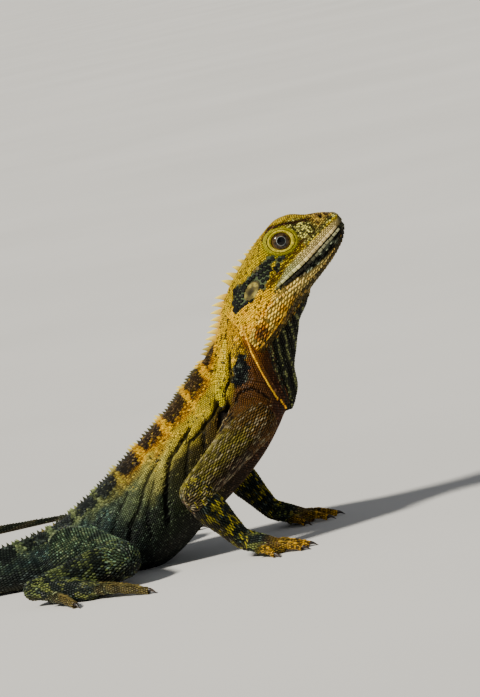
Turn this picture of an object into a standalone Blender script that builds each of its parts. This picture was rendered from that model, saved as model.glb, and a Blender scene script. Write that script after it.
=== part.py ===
# A life-size Australian water dragon, still, propped up on its forefeet with the head raised.
# Metres, +Z up, the head towards +X and the animal's left side towards +Y.
# The tables below are in millimetres, and MM turns them into metres.

import math
import random

import bmesh
import bpy
import numpy as np
from mathutils import Matrix, Vector
from mathutils.bvhtree import BVHTree

MM = 0.001
GAP = 0.3 * MM
FLOOR_SINK = 0.7
CUTTER_REACH = 0.6
SHORT_REACH = 0.16

# Neck and trunk, from the back of the skull to the vent: centre x and z, half heights above and
# below the centre, half width, how much wider the section is low down, and the ridge of the back.
TRUNK_KEYS = ("x", "z", "up", "down", "wide", "pear", "ridge")
TRUNK = [
    (11.0, 112.0, 7.6, 9.5, 10.0, 0.0, 0.5),
    (8.0, 102.5, 10.6, 12.0, 12.5, 0.0, 1.0),
    (5.0, 91.0, 11.8, 12.5, 13.0, 0.05, 1.2),
    (1.5, 80.5, 15.0, 14.5, 15.0, 0.1, 1.2),
    (-5.0, 67.0, 19.8, 22.5, 18.5, 0.15, 1.2),
    (-17.0, 52.0, 21.6, 22.5, 21.0, 0.2, 1.2),
    (-36.0, 37.5, 21.0, 22.5, 23.5, 0.25, 1.2),
    (-60.0, 23.5, 18.4, 25.5, 24.5, 0.25, 1.2),
    (-84.0, 15.5, 13.0, 16.8, 18.0, 0.1, 1.2),
    (-104.0, 12.0, 9.4, 12.8, 12.0, 0.0, 1.2),
]

# The tail lies on the floor and sweeps round to the left: distance from the vent, half width, half height.
TAIL_KEYS = ("along", "wide", "tall")
TAIL = [
    (0.0, 12.0, 10.4),
    (20.0, 10.4, 9.6),
    (60.0, 8.4, 8.8),
    (120.0, 6.5, 7.6),
    (200.0, 4.8, 6.0),
    (290.0, 3.3, 4.2),
    (370.0, 2.0, 2.6),
    (424.0, 0.9, 1.2),
]
TAIL_TURN_DEG = 168.0
TAIL_TURN_FROM = 35.0
TAIL_TURN_TO = 375.0

# The head has its own frame: its pivot in the model, its pitch, and feature lines from back to snout.
HEAD_PIVOT = (12.2, 102.3)
HEAD_PITCH = math.radians(32.5)
HEAD_X = (-13.0, -5.0, 4.0, 13.0, 21.0, 28.0, 35.0, 41.0, 46.0, 49.5)
CROWN_Z = (7.5, 14.0, 17.0, 19.4, 20.8, 21.3, 19.4, 14.0, 10.6, 7.4)
BROW_Y = (8.5, 9.8, 10.8, 11.2, 11.4, 11.4, 9.2, 6.4, 4.4, 2.6)
BROW_Z = (5.0, 9.5, 13.0, 16.4, 19.2, 20.0, 17.6, 12.7, 9.4, 6.2)
CHEEK_Y = (13.5, 16.6, 17.0, 15.2, 12.8, 11.6, 10.2, 8.0, 6.0, 3.6)
CHEEK_Z = (0.0, 3.0, 6.0, 8.0, 9.4, 9.4, 8.4, 7.2, 6.2, 5.0)
MOUTH_Y = (15.0, 18.0, 18.2, 16.8, 14.8, 12.8, 10.8, 8.6, 6.6, 4.2)
MOUTH_Z = (-6.0, -4.2, -2.0, -0.4, -0.6, -0.9, -0.6, -0.1, 0.2, 0.6)
JAW_Y = (13.0, 16.2, 16.0, 14.2, 12.2, 10.2, 8.4, 6.6, 4.8, 2.8)
JAW_Z = (-14.0, -12.5, -11.2, -9.2, -8.0, -7.2, -6.2, -4.9, -3.4, -1.2)
CHIN_Z = (-16.0, -15.0, -13.4, -11.6, -10.2, -9.3, -8.2, -6.7, -4.7, -1.8)
SNOUT_TIP = (51.5, 3.0)
SNOUT_ROUNDING = [(0.88, 0.4), (0.62, 0.75), (0.3, 0.95)]

EYE_AT = (26.2, 8.0, 13.5)
EYE_FACING = (0.22, -0.95, 0.20)
EYE_RADIUS = 5.2
LID_RING = (5.1, 4.4, 1.05)
LID_STANDS_OUT = 3.3
EAR_AT = (2.8, 16.4, 6.6)
EAR_FACING = (-0.12, -0.98, 0.12)
EAR_SIZE = (4.4, 3.2)
EAR_DEPTH = 1.3
NOSTRIL_AT = (45.8, 5.2, 8.6)
NOSTRIL_RADIUS = 0.75
MOUTH_BACK_X = 12.0
MOUTH_GROOVE = 0.5

# The throat pouch, from inside the jaw down to its tip: centre x and z, half length and half width.
POUCH_KEYS = ("x", "z", "long", "wide")
POUCH = [
    (25.5, 108.0, 11.0, 9.5),
    (21.5, 98.5, 11.0, 10.2),
    (16.2, 90.5, 11.2, 10.0),
    (15.4, 82.5, 9.4, 8.6),
    (15.4, 73.0, 6.4, 6.6),
    (16.4, 64.0, 5.0, 4.6),
    (16.4, 58.0, 2.6, 2.6),
    (15.6, 54.6, 1.2, 1.2),
]

# Folds of skin on either side, as points (x, z, distance from the middle) and a radius: the one
# that runs from the jaw down beside the pouch, and the flap in front of the shoulder.
FOLDS = [
    (
        [(4.0, 91.5, 13.2), (6.6, 83.0, 12.8), (9.4, 74.0, 12.2), (12.0, 66.0, 11.0), (14.4, 59.0, 9.0)],
        1.5,
    ),
    (
        [(-4.6, 91.0, 9.2), (-6.8, 84.0, 11.4), (-9.2, 76.0, 14.2), (-10.8, 69.5, 16.6), (-10.4, 64.0, 18.4)],
        1.9,
    ),
]

# Limb joints as (x, distance from the middle, z), for the right side and for the left.
ARM_JOINTS = {
    "right": ((1.5, 15.5, 54.5), (-28.0, 37.0, 32.3), (-12.5, 33.0, 8.6)),
    "left": ((1.5, 15.5, 54.5), (-20.0, 37.5, 31.5), (-4.5, 32.5, 8.8)),
}
LEG_JOINTS = {
    "right": ((-88.0, 9.0, 13.5), (-63.0, 45.0, 11.5), (-101.0, 53.0, 7.6)),
    "left": ((-88.0, 9.0, 13.5), (-58.0, 43.0, 12.5), (-95.0, 54.0, 7.6)),
}
HAND_HEADING_DEG = {"right": 4.0, "left": 8.0}
FOOT_HEADING_DEG = {"right": 17.0, "left": 12.0}

# Segment radii from root to end, as (share of the length, radius across, radius deep).
UPPER_ARM = [(0.0, 9.0, 10.0), (0.35, 8.0, 8.6), (0.75, 6.8, 7.2), (1.0, 6.3, 6.3)]
FOREARM = [(0.0, 6.3, 6.3), (0.3, 6.9, 7.0), (0.75, 5.0, 5.2), (1.0, 4.4, 4.4)]
THIGH = [(0.0, 12.0, 12.0), (0.35, 11.0, 11.4), (0.75, 9.2, 9.4), (1.0, 8.2, 8.2)]
SHANK = [(0.0, 8.2, 8.2), (0.3, 8.0, 8.4), (0.7, 5.8, 6.0), (1.0, 5.0, 5.0)]

# Digits: angle from the foot's heading (outwards is positive), where they start along and across
# the sole, and their length without the claw.
FINGERS = [
    (-40, 6, -4.6, 9.0), (-17, 10, -3.2, 14.0), (-1, 11, -0.6, 17.0), (14, 10, 2.2, 16.5),
    (40, 6, 4.4, 11.0),
]
TOES = [
    (-30, 15, -4.6, 11.0), (-13, 21, -3.2, 17.0), (0, 23, -0.8, 25.0), (9, 22, 1.8, 34.0),
    (36, 9, 4.4, 20.0),
]
HAND = {"digits": FINGERS, "long": 12.0, "wide": 6.6, "thick": 4.2, "digit_radius": 2.1}
FOOT = {"digits": TOES, "long": 24.0, "wide": 6.4, "thick": 4.6, "digit_radius": 2.4}
CLAW_LONG = 4.2
CLAW_ROOT = 1.1

SKIN_COLOURS = {
    "head": (0.62, 0.47, 0.05),
    "neck": (0.55, 0.42, 0.06),
    "body": (0.20, 0.20, 0.08),
    "tail": (0.10, 0.12, 0.09),
    "limb": (0.16, 0.17, 0.06),
    "pouch": (0.08, 0.07, 0.04),
    "ear": (0.36, 0.30, 0.16),
    "eye": (0.05, 0.03, 0.02),
}


def pchip(keys, values, at):
    """Smooth values through the keys, with no overshoot between them."""
    x = np.asarray(keys, float)
    y = np.asarray(values, float)
    step = np.diff(x)
    slope = np.diff(y) / step
    grade = np.zeros(len(x))
    same = slope[:-1] * slope[1:] > 0
    w1 = 2 * step[1:] + step[:-1]
    w2 = step[1:] + 2 * step[:-1]
    before = np.where(same, slope[:-1], 1.0)
    after = np.where(same, slope[1:], 1.0)
    grade[1:-1] = np.where(same, (w1 + w2) / (w1 / before + w2 / after), 0.0)
    grade[0] = slope[0]
    grade[-1] = slope[-1]
    q = np.clip(np.asarray(at, float), x[0], x[-1])
    i = np.clip(np.searchsorted(x, q, side="right") - 1, 0, len(x) - 2)
    t = (q - x[i]) / step[i]
    return (
        (2 * t**3 - 3 * t**2 + 1) * y[i]
        + (t**3 - 2 * t**2 + t) * step[i] * grade[i]
        + (3 * t**2 - 2 * t**3) * y[i + 1]
        + (t**3 - t**2) * step[i] * grade[i + 1]
    )


def catmull(points, per_span):
    """A smooth curve through points, with per_span steps between each two."""
    p = np.asarray(points, float)
    p = np.vstack([2 * p[0] - p[1], p, 2 * p[-1] - p[-2]])
    t = np.linspace(0, 1, per_span, endpoint=False)[:, None]
    spans = [
        0.5
        * (
            2 * p[i]
            + (p[i + 1] - p[i - 1]) * t
            + (2 * p[i - 1] - 5 * p[i] + 4 * p[i + 1] - p[i + 2]) * t**2
            + (3 * p[i] - p[i - 1] - 3 * p[i + 1] + p[i + 2]) * t**3
        )
        for i in range(1, len(p) - 2)
    ]
    return np.vstack([*spans, p[-2]])


def unit(v):
    v = np.asarray(v, float)
    return v / np.linalg.norm(v, axis=-1, keepdims=True)


def columns(keys, rows):
    return {k: np.array([r[i] for r in rows], float) for i, k in enumerate(keys)}


class Body:
    """The centreline of neck, trunk and tail, and the skin's place at any distance and angle."""

    def __init__(self):
        trunk = columns(TRUNK_KEYS, TRUNK)
        line = catmull(np.c_[trunk["x"], trunk["z"]], 24)
        along = np.r_[0, np.cumsum(np.linalg.norm(np.diff(line, axis=0), axis=1))]
        at = along[::24]
        self.vent = along[-1]
        tail = columns(TAIL_KEYS, TAIL)
        steps = np.arange(1.0, tail["along"][-1] + 0.5)
        turned = np.clip((steps - TAIL_TURN_FROM) / (TAIL_TURN_TO - TAIL_TURN_FROM), 0, 1)
        heading = math.radians(TAIL_TURN_DEG) * turned * turned * (3 - 2 * turned)
        tail_x = line[-1, 0] - np.cumsum(np.cos(heading))
        tail_y = np.cumsum(np.sin(heading))
        tail_z = pchip(tail["along"], tail["tall"], steps) - FLOOR_SINK
        settle = np.exp(-steps / 12.0)
        tail_z = tail_z * (1 - settle) + line[-1, 1] * settle
        self.s = np.r_[along, self.vent + steps]
        self.centre = np.c_[
            np.r_[line[:, 0], tail_x], np.r_[0 * along, tail_y], np.r_[line[:, 1], tail_z]
        ]
        self.length = self.s[-1]
        keys = np.r_[at, self.vent + tail["along"][1:]]
        none = np.zeros(len(tail["along"]) - 1)
        self.keys = keys
        self.shape = {
            "up": np.r_[trunk["up"], tail["tall"][1:]],
            "down": np.r_[trunk["down"], tail["tall"][1:]],
            "wide": np.r_[trunk["wide"], tail["wide"][1:]],
            "pear": np.r_[trunk["pear"], none],
            "ridge": np.r_[trunk["ridge"], none + 0.4],
        }

    def middle(self, s):
        return np.stack([np.interp(s, self.s, self.centre[:, i]) for i in range(3)], axis=-1)

    def axes(self, s):
        """Unit vectors at s: backwards along the body, to the animal's left, and up out of the back."""
        back = unit(self.middle(s + 1.5) - self.middle(s - 1.5))
        side = unit(np.cross(back, (0, 0, 1)))
        return back, side, np.cross(side, back)

    def skin(self, s, theta):
        """Points of the skin. theta is 0 on the back and grows towards the animal's left."""
        s, theta = np.broadcast_arrays(np.asarray(s, float), np.asarray(theta, float))
        up, down, wide, pear, ridge = (
            pchip(self.keys, self.shape[k], s) for k in ("up", "down", "wide", "pear", "ridge")
        )
        c, n = np.cos(theta), np.sin(theta)
        wrapped = (theta + math.pi) % (2 * math.pi) - math.pi
        high = np.where(c > 0, up, down) * c + ridge * np.exp(-((wrapped / 0.3) ** 2))
        across = wide * n * (1 - 0.5 * pear * c)
        _, side, out = self.axes(s)
        return self.middle(s) + side * across[..., None] + out * high[..., None]

    def normal(self, s, theta):
        along = self.skin(s + 0.5, theta) - self.skin(s - 0.5, theta)
        around = self.skin(s, theta + 0.02) - self.skin(s, theta - 0.02)
        return unit(np.cross(around, along))


BODY = Body()


def head_to_model(points):
    """From the head's frame (forward, left, up) to the model's."""
    p = np.asarray(points, float)
    c, n = math.cos(HEAD_PITCH), math.sin(HEAD_PITCH)
    return np.stack(
        [
            HEAD_PIVOT[0] + p[..., 0] * c - p[..., 2] * n,
            p[..., 1],
            HEAD_PIVOT[1] + p[..., 0] * n + p[..., 2] * c,
        ],
        axis=-1,
    )


def head_direction(v):
    return unit(head_to_model(v) - head_to_model((0, 0, 0)))


def sided(point, side):
    """The same point on the named side of the head or body."""
    return (point[0], abs(point[1]) * (1 if side == "left" else -1), point[2])


def facing(direction, side):
    return head_direction((direction[0], direction[1] * (-1 if side == "left" else 1), direction[2]))


def mesh_object(name, points, faces, collection, smooth=True):
    mesh = bpy.data.meshes.new(name)
    mesh.from_pydata([tuple(p) for p in np.asarray(points) * MM], [], faces)
    work = bmesh.new()
    work.from_mesh(mesh)
    bmesh.ops.recalc_face_normals(work, faces=work.faces)
    work.to_mesh(mesh)
    work.free()
    if smooth:
        mesh.shade_smooth()
    obj = bpy.data.objects.new(name, mesh)
    collection.objects.link(obj)
    return obj


def loft(name, rings, collection, start=None, end=None):
    """A closed solid through rings of points alike in count, its ends drawn to a point each."""
    rings = [np.asarray(r, float) for r in rings]
    count = len(rings[0])
    points = [p for r in rings for p in r]
    points.append(rings[0].mean(axis=0) if start is None else start)
    points.append(rings[-1].mean(axis=0) if end is None else end)
    first, last = len(points) - 2, len(points) - 1
    faces = []
    for i in range(count):
        j = (i + 1) % count
        faces.append((first, j, i))
        base = (len(rings) - 1) * count
        faces.append((last, base + i, base + j))
        for r in range(len(rings) - 1):
            a = r * count
            faces.append((a + i, a + j, a + count + j, a + count + i))
    return mesh_object(name, points, faces, collection)


def spine_points(root, out, lean, long, thick, broad, sides):
    """A spine: a ring sunk under the skin, a ring half way up and a tip that leans back."""
    root, out, lean = (np.asarray(v, float) for v in (root, out, lean))
    across = unit(np.cross(out, lean))
    rings = []
    for share, up in ((1.25, -0.9), (0.62, 0.42 * long)):
        centre = root + out * up + lean * 0.12 * long * max(up, 0) / long
        for k in range(sides):
            a = 2 * math.pi * k / sides
            rings.append(centre + share * (lean * broad * math.cos(a) + across * thick * math.sin(a)))
    tip = root + out * long + lean * 0.42 * long
    return np.array([*rings, tip])


def spine_faces(sides):
    low = [(i, (i + 1) % sides, sides + (i + 1) % sides, sides + i) for i in range(sides)]
    high = [(sides + i, sides + (i + 1) % sides, 2 * sides) for i in range(sides)]
    return [tuple(range(sides))[::-1], *low, *high]


def spine(name, collection, root, out, lean, long, thick, broad):
    sides = 5 if long > 3 else 4
    points = spine_points(root, out, lean, long, thick, broad, sides)
    return mesh_object(name, points, spine_faces(sides), collection, smooth=False)


def baked(obj):
    """Applies every modifier of obj to its mesh."""
    graph = bpy.context.evaluated_depsgraph_get()
    mesh = bpy.data.meshes.new_from_object(obj.evaluated_get(graph))
    obj.modifiers.clear()
    obj.data = mesh
    return obj


def boolean(obj, operation, other):
    """Applies one Boolean of obj with an object or with a collection of objects."""
    modifier = obj.modifiers.new(operation.lower(), "BOOLEAN")
    modifier.operation = operation
    modifier.solver = "MANIFOLD"
    if isinstance(other, bpy.types.Collection):
        modifier.operand_type = "COLLECTION"
        modifier.collection = other
    else:
        modifier.object = other
    return baked(obj)


def emptied(collection):
    for obj in list(collection.objects):
        bpy.data.objects.remove(obj)


def slab(point, normal, collection, reach):
    """A box with its near face on the point, reaching out along the normal."""
    work = bmesh.new()
    bmesh.ops.create_cube(work, size=reach)
    for v in work.verts:
        v.co.z += reach / 2
    mesh = bpy.data.meshes.new("slab")
    work.to_mesh(mesh)
    work.free()
    turn = Vector(normal).to_track_quat("Z", "Y").to_matrix().to_4x4()
    mesh.transform(Matrix.Translation(np.asarray(point) * MM) @ turn)
    obj = bpy.data.objects.new("slab", mesh)
    collection.objects.link(obj)
    return obj


def cut_away(obj, point, normal, cutters, reach=CUTTER_REACH):
    """Removes what lies beyond the plane, and half the gap with it."""
    back = np.asarray(point) - unit(normal) * GAP / MM / 2
    boolean(obj, "DIFFERENCE", slab(back, normal, cutters, reach))
    emptied(cutters)


def copied(obj, name, collection, swell=0.0):
    """A copy of obj's mesh, swollen along its normals."""
    mesh = obj.data.copy()
    if swell:
        for v, n in [(v, v.normal.copy()) for v in mesh.vertices]:
            v.co += n * swell
    new = bpy.data.objects.new(name, mesh)
    collection.objects.link(new)
    return new


def largest_only(obj):
    """Keeps the largest closed surface of the mesh."""
    work = bmesh.new()
    work.from_mesh(obj.data)
    left = set(work.faces)
    shells = []
    while left:
        stack = [left.pop()]
        shell = set(stack)
        while stack:
            for edge in stack.pop().edges:
                for face in edge.link_faces:
                    if face in left:
                        left.discard(face)
                        shell.add(face)
                        stack.append(face)
        shells.append(shell)
    shells.sort(key=lambda shell: sum(f.calc_area() for f in shell))
    bmesh.ops.delete(work, geom=[f for shell in shells[:-1] for f in shell], context="FACES")
    work.to_mesh(obj.data)
    work.free()


def stood_on_floor(obj):
    """Cuts the mesh flat at the floor, closes it there and leaves only triangles."""
    work = bmesh.new()
    work.from_mesh(obj.data)
    if min(v.co.z for v in work.verts) < 0:
        geometry = [*work.verts, *work.edges, *work.faces]
        bmesh.ops.bisect_plane(
            work, geom=geometry, dist=1e-7, plane_co=(0, 0, 0), plane_no=(0, 0, 1), clear_inner=True
        )
        bmesh.ops.holes_fill(work, edges=[e for e in work.edges if e.is_boundary])
    bmesh.ops.dissolve_degenerate(work, dist=2e-6, edges=work.edges)
    bmesh.ops.triangulate(work, faces=work.faces)
    work.to_mesh(obj.data)
    work.free()


def paint(obj, look):
    material = bpy.data.materials.get(look) or bpy.data.materials.new(look)
    material.use_nodes = True
    shader = material.node_tree.nodes["Principled BSDF"]
    shader.inputs["Base Color"].default_value = (*SKIN_COLOURS[look], 1)
    shader.inputs["Roughness"].default_value = 0.15 if look == "eye" else 0.6
    shader.inputs["Metallic"].default_value = 0.0
    obj.data.materials.clear()
    obj.data.materials.append(material)


def trunk_and_tail(collection):
    """Neck, trunk and tail in one loft, with rings closer together where the body bends."""
    ring_s = np.r_[
        np.linspace(0, BODY.vent, 32), BODY.vent + np.linspace(7, BODY.length - BODY.vent - 0.5, 36)
    ]
    rings = []
    for s in ring_s:
        sides = 24
        theta = np.arange(sides) * 2 * math.pi / sides
        rings.append(BODY.skin(s, theta))
    tip = BODY.middle(BODY.length) + BODY.axes(BODY.length - 2)[0] * 1.0
    return loft("trunk_and_tail", rings, collection, end=tip)


def head_section(x, steps=(3, 3, 4, 3, 3)):
    """One ring of the head across x, from the crown round by the right side to the chin and back."""
    lines = [
        (np.zeros_like(HEAD_X), CROWN_Z),
        (BROW_Y, BROW_Z),
        (CHEEK_Y, CHEEK_Z),
        (MOUTH_Y, MOUTH_Z),
        (JAW_Y, JAW_Z),
        (np.zeros_like(HEAD_X), CHIN_Z),
    ]
    half = np.array([(float(pchip(HEAD_X, y, x)), float(pchip(HEAD_X, z, x))) for y, z in lines])
    knots = np.vstack([half[1] * (-1, 1), half, half[-2] * (-1, 1)])
    points = []
    for i, count in enumerate(steps):
        p0, p1, p2, p3 = knots[i : i + 4]
        for t in np.arange(count) / count:
            points.append(
                0.5
                * (
                    2 * p1
                    + (p2 - p0) * t
                    + (2 * p0 - 5 * p1 + 4 * p2 - p3) * t**2
                    + (3 * p1 - p0 - 3 * p2 + p3) * t**3
                )
            )
    points.append(half[-1])
    right = [(x, -y, z) for y, z in points]
    left = [(x, y, z) for y, z in points[-2:0:-1]]
    return np.array(right + left)


def head_solid(collection):
    """The skull and jaws in one loft, rounded off at the snout."""
    places = np.r_[np.linspace(HEAD_X[0], 44, 21), 46.0, 47.8, HEAD_X[-1]]
    rings = [head_section(x) for x in places]
    last, middle = rings[-1], rings[-1].mean(axis=0)
    tip = np.array((SNOUT_TIP[0], 0, SNOUT_TIP[1]))
    for shrink, ahead in SNOUT_ROUNDING:
        rings.append((last - middle) * shrink + middle + (tip - middle) * ahead)
    return loft(
        "head_solid",
        [head_to_model(r) for r in rings],
        collection,
        end=head_to_model(tip),
    )


def pouch_ring(row, sides=16):
    angle = np.arange(sides) * 2 * math.pi / sides
    x, z, long, wide = row
    narrow = 1 - 0.28 * np.cos(angle)
    return np.c_[x + long * np.cos(angle), wide * np.sin(angle) * narrow, np.full(sides, z)]


def pouch_solid(collection):
    rows = columns(POUCH_KEYS, POUCH)
    levels = np.linspace(rows["z"][0], rows["z"][-1], 13)
    order = -rows["z"]
    rings = []
    for z in levels:
        x, long, wide = (pchip(order, rows[k], -z) for k in ("x", "long", "wide"))
        rings.append(pouch_ring([x, z, long, wide]))
    return loft("pouch_solid", rings, collection)


def tube(name, path, radii, collection, sides=8):
    """A round tube along path, with pointed ends."""
    path = np.asarray(path, float)
    ahead = unit(np.gradient(path, axis=0))
    rings = []
    aside = unit(np.cross(ahead[0], (0.31, 0.17, 0.94)))
    for p, d, r in zip(path, ahead, radii):
        aside = unit(aside - d * np.dot(aside, d))
        other = np.cross(d, aside)
        angle = np.arange(sides)[:, None] * 2 * math.pi / sides
        rings.append(p + r * (np.cos(angle) * aside + np.sin(angle) * other))
    start = path[0] - ahead[0] * radii[0] * 0.4
    end = path[-1] + ahead[-1] * radii[-1] * 0.4
    return loft(name, rings, collection, start, end)


def folds(collection):
    for points, radius in FOLDS:
        for sign in (-1, 1):
            path = catmull([(x, y * sign, z) for x, z, y in points], 2)
            swell = np.sin(np.linspace(0.12, 0.88, len(path)) * math.pi)
            tube("fold", path, radius * swell, collection, sides=6)


def segment(name, root, end, profile, collection, sides=12):
    """One length of a limb: a tapered solid with round ends as thick as its profile says there."""
    root, end = np.asarray(root, float), np.asarray(end, float)
    along = end - root
    long = np.linalg.norm(along)
    ahead = along / long
    across = unit(np.cross(ahead, (0, 0, 1)))
    deep = np.cross(across, ahead)
    shares = [p[0] for p in profile]
    angle = np.arange(sides)[:, None] * 2 * math.pi / sides

    def ring(share, scale, shift):
        wide = pchip(shares, [p[1] for p in profile], share) * scale
        tall = pchip(shares, [p[2] for p in profile], share) * scale
        centre = root + along * share + ahead * shift
        return centre + across * np.cos(angle) * wide + deep * np.sin(angle) * tall

    caps = [math.radians(a) for a in (68, 40, 14)]
    first, last = profile[0][1], profile[-1][1]
    rings = [ring(0, math.cos(a), -first * math.sin(a)) for a in caps]
    rings += [ring(share, 1, 0) for share in np.linspace(0.06, 0.94, 6)]
    rings += [ring(1, math.cos(a), last * math.sin(a)) for a in reversed(caps)]
    return loft(name, rings, collection, root - ahead * first, end + ahead * last)


def digit_path(start, heading, long, drop_to):
    """A toe's line: a low arch from the knuckle down to the floor."""
    t = np.linspace(0, 1, 5)
    flat = start[None, :2] + np.outer(t * long, (math.cos(heading), math.sin(heading)))
    arch = start[2] + (drop_to - start[2]) * t + 1.6 * np.sin(math.pi * t) * (1 - 0.35 * t)
    return np.c_[flat, arch]


def paw_pieces(root, heading, side, form, collection):
    """The sole, the digits and the claws of a hand or foot, as closed pieces that overlap."""
    out = 1 if side == "left" else -1
    ahead = np.array((math.cos(heading), math.sin(heading), 0))
    aside = np.array((-math.sin(heading), math.cos(heading), 0)) * out
    ankle = np.array(root)
    sole_high = form["thick"] - FLOOR_SINK
    knuckles = ankle * (1, 1, 0) + ahead * form["long"] + np.array((0, 0, sole_high))
    profile = [
        (0.0, 4.4, 4.4),
        (0.45, form["wide"] * 0.86, form["thick"] * 1.05),
        (1.0, form["wide"], form["thick"] * 0.9),
    ]
    segment("sole", ankle, knuckles, profile, collection, sides=12)
    for angle, along, across, long in form["digits"]:
        turn = heading + out * math.radians(angle)
        start = ankle * (1, 1, 0) + ahead * along + aside * across + np.array((0, 0, sole_high - 0.4))
        radius = form["digit_radius"]
        low = radius * 0.72 - FLOOR_SINK * 0.5
        path = digit_path(start, turn, long, low)
        radii = radius * np.array((1.0, 0.98, 0.91, 0.83, 0.72))
        tube("digit", path, radii, collection, sides=6)
        point = np.array((math.cos(turn), math.sin(turn), 0))
        t = np.linspace(0, 1, 3)
        claw = path[-1] + np.outer(t * CLAW_LONG - 0.6, point)
        claw[:, 2] += 0.9 * np.sin(math.pi * t * 0.8) + 0.35 - 0.35 * t
        tube("claw", claw, CLAW_ROOT * np.array((1.0, 0.75, 0.16)), collection, sides=5)


def paw(name, root, heading, side, form, pieces, nodes):
    """A hand or foot, its pieces joined in one union."""
    paw_pieces(root, heading, side, form, pieces)
    obj = copied(pieces.objects[0], name, nodes)
    bpy.data.objects.remove(pieces.objects[0])
    boolean(obj, "UNION", pieces)
    emptied(pieces)
    return obj


def bend_plane(before, joint, after):
    """The normal of the plane that halves the bend at a joint."""
    return unit(unit(np.subtract(joint, before)) + unit(np.subtract(after, joint)))


def limb(side, joints, profiles, names, heading_deg, form, body, pieces, cutters, nodes):
    """Upper length, lower length and paw, cut apart at the joints and clear of the body."""
    out = 1 if side == "left" else -1
    root, bend, end = (np.array((x, y * out, z)) for x, y, z in joints)
    heading = math.radians(heading_deg) * out
    tip = end + np.array((math.cos(heading), math.sin(heading), -0.25)) * form["long"]
    upper = segment(names[0], root, bend, profiles[0], nodes)
    lower = segment(names[1], bend, end, profiles[1], nodes)
    last = paw(names[2], end, heading, side, form, pieces, nodes)
    fold, wrist = bend_plane(root, bend, end), bend_plane(bend, end, tip)
    cut_away(upper, bend, fold, cutters)
    cut_away(lower, bend, -fold, cutters)
    cut_away(lower, end, wrist, cutters)
    cut_away(last, end, -wrist, cutters)
    for obj in (upper, lower, last):
        copied(body, "body", cutters, GAP)
        boolean(obj, "DIFFERENCE", cutters.objects[0])
        emptied(cutters)
    return upper, lower, last


def ring_tube(centre, normal, wide, tall, radius, collection, name="ring", sides=6):
    """A closed ring round the normal, such as an eyelid."""
    normal = unit(normal)
    flat = unit(np.cross((0, 0, 1), normal))
    high = np.cross(normal, flat)
    points, faces = [], []
    around = 16
    for i in range(around):
        a = 2 * math.pi * i / around
        spoke = flat * math.cos(a) * wide + high * math.sin(a) * tall
        out = unit(spoke)
        for k in range(sides):
            b = 2 * math.pi * k / sides
            points.append(centre + spoke + radius * (out * math.cos(b) + normal * math.sin(b)))
    for i in range(around):
        for k in range(sides):
            a, b = i * sides, ((i + 1) % around) * sides
            faces.append((a + k, a + (k + 1) % sides, b + (k + 1) % sides, b + k))
    return mesh_object(name, points, faces, collection)


def ball(name, centre, radii, axes, collection, segments=16, rows=10):
    work = bmesh.new()
    bmesh.ops.create_uvsphere(work, u_segments=segments, v_segments=rows, radius=1.0)
    points = np.array([v.co for v in work.verts])
    faces = [tuple(v.index for v in f.verts) for f in work.faces]
    work.free()
    placed = np.asarray(centre) + (points * radii) @ np.asarray(axes)
    return mesh_object(name, placed, faces, collection)


def axes_facing(direction):
    """Rows: along, up and out, with out the direction."""
    out = unit(direction)
    along = unit(np.cross((0, 0, 1), out))
    return np.array([along, np.cross(out, along), out])


def mouth_line(steps=10):
    """The line between the lips, from the right corner of the mouth round the snout to the left."""
    xs = np.linspace(MOUTH_BACK_X, HEAD_X[-1], steps)
    lip = np.c_[xs, -pchip(HEAD_X, MOUTH_Y, xs), pchip(HEAD_X, MOUTH_Z, xs)]
    tip = [(50.6, -3.4, 1.0), (51.2, -1.8, 1.3), (51.4, 0.0, 1.4), (51.2, 1.8, 1.3), (50.6, 3.4, 1.0)]
    return np.vstack([lip, tip, lip[::-1] * (1, -1, 1)])


def head_details(head, cutters, pieces):
    """Sockets, lids, ear hollows, nostrils and the line of the mouth."""
    for side in ("right", "left"):
        eye_out = facing(EYE_FACING, side)
        eye_at = head_to_model(sided(EYE_AT, side))
        ring_tube(eye_at + eye_out * LID_STANDS_OUT, eye_out, *LID_RING, pieces)
    boolean(head, "UNION", pieces)
    emptied(pieces)
    for side in ("right", "left"):
        eye_out = facing(EYE_FACING, side)
        eye_at = head_to_model(sided(EYE_AT, side))
        hollow = EYE_RADIUS + GAP / MM
        ball("socket", eye_at, (hollow,) * 3, axes_facing(eye_out), cutters)
        ear_out = facing(EAR_FACING, side)
        ear_at = head_to_model(sided(EAR_AT, side))
        ball("ear_hollow", ear_at, (*EAR_SIZE, EAR_DEPTH + 1.6), axes_facing(ear_out), cutters, 16, 8)
        nostril = head_to_model(sided(NOSTRIL_AT, side))
        ball("nostril", nostril, (NOSTRIL_RADIUS,) * 3, np.eye(3), cutters, 10, 6)
    lips = mouth_line()
    tube("mouth", head_to_model(lips), [MOUTH_GROOVE] * len(lips), cutters, sides=5)
    for cutter in list(cutters.objects):
        boolean(head, "DIFFERENCE", cutter)
    emptied(cutters)


def eye_and_ear(side, nodes):
    eye_out = facing(EYE_FACING, side)
    eye = ball(
        f"eye_{side}", head_to_model(sided(EYE_AT, side)), (EYE_RADIUS,) * 3, axes_facing(eye_out), nodes
    )
    paint(eye, "eye")
    ear_out = facing(EAR_FACING, side)
    middle = head_to_model(sided(EAR_AT, side)) - ear_out * 1.4
    size = (EAR_SIZE[0] * 0.72, EAR_SIZE[1] * 0.72, 0.9)
    ear = ball(f"ear_{side}", middle, size, axes_facing(ear_out), nodes, 12, 6)
    paint(ear, "ear")


def body_spine(s, theta, long, thick, broad, name, pieces):
    """One spine set on the skin of neck, trunk or tail at distance s and angle theta."""
    root = BODY.skin(s, theta)
    out = BODY.normal(s, theta)
    back = BODY.axes(s)[0]
    back = unit(back - out * np.dot(back, out))
    return spine(name, pieces, root, out, back, long, thick, broad)


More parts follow.
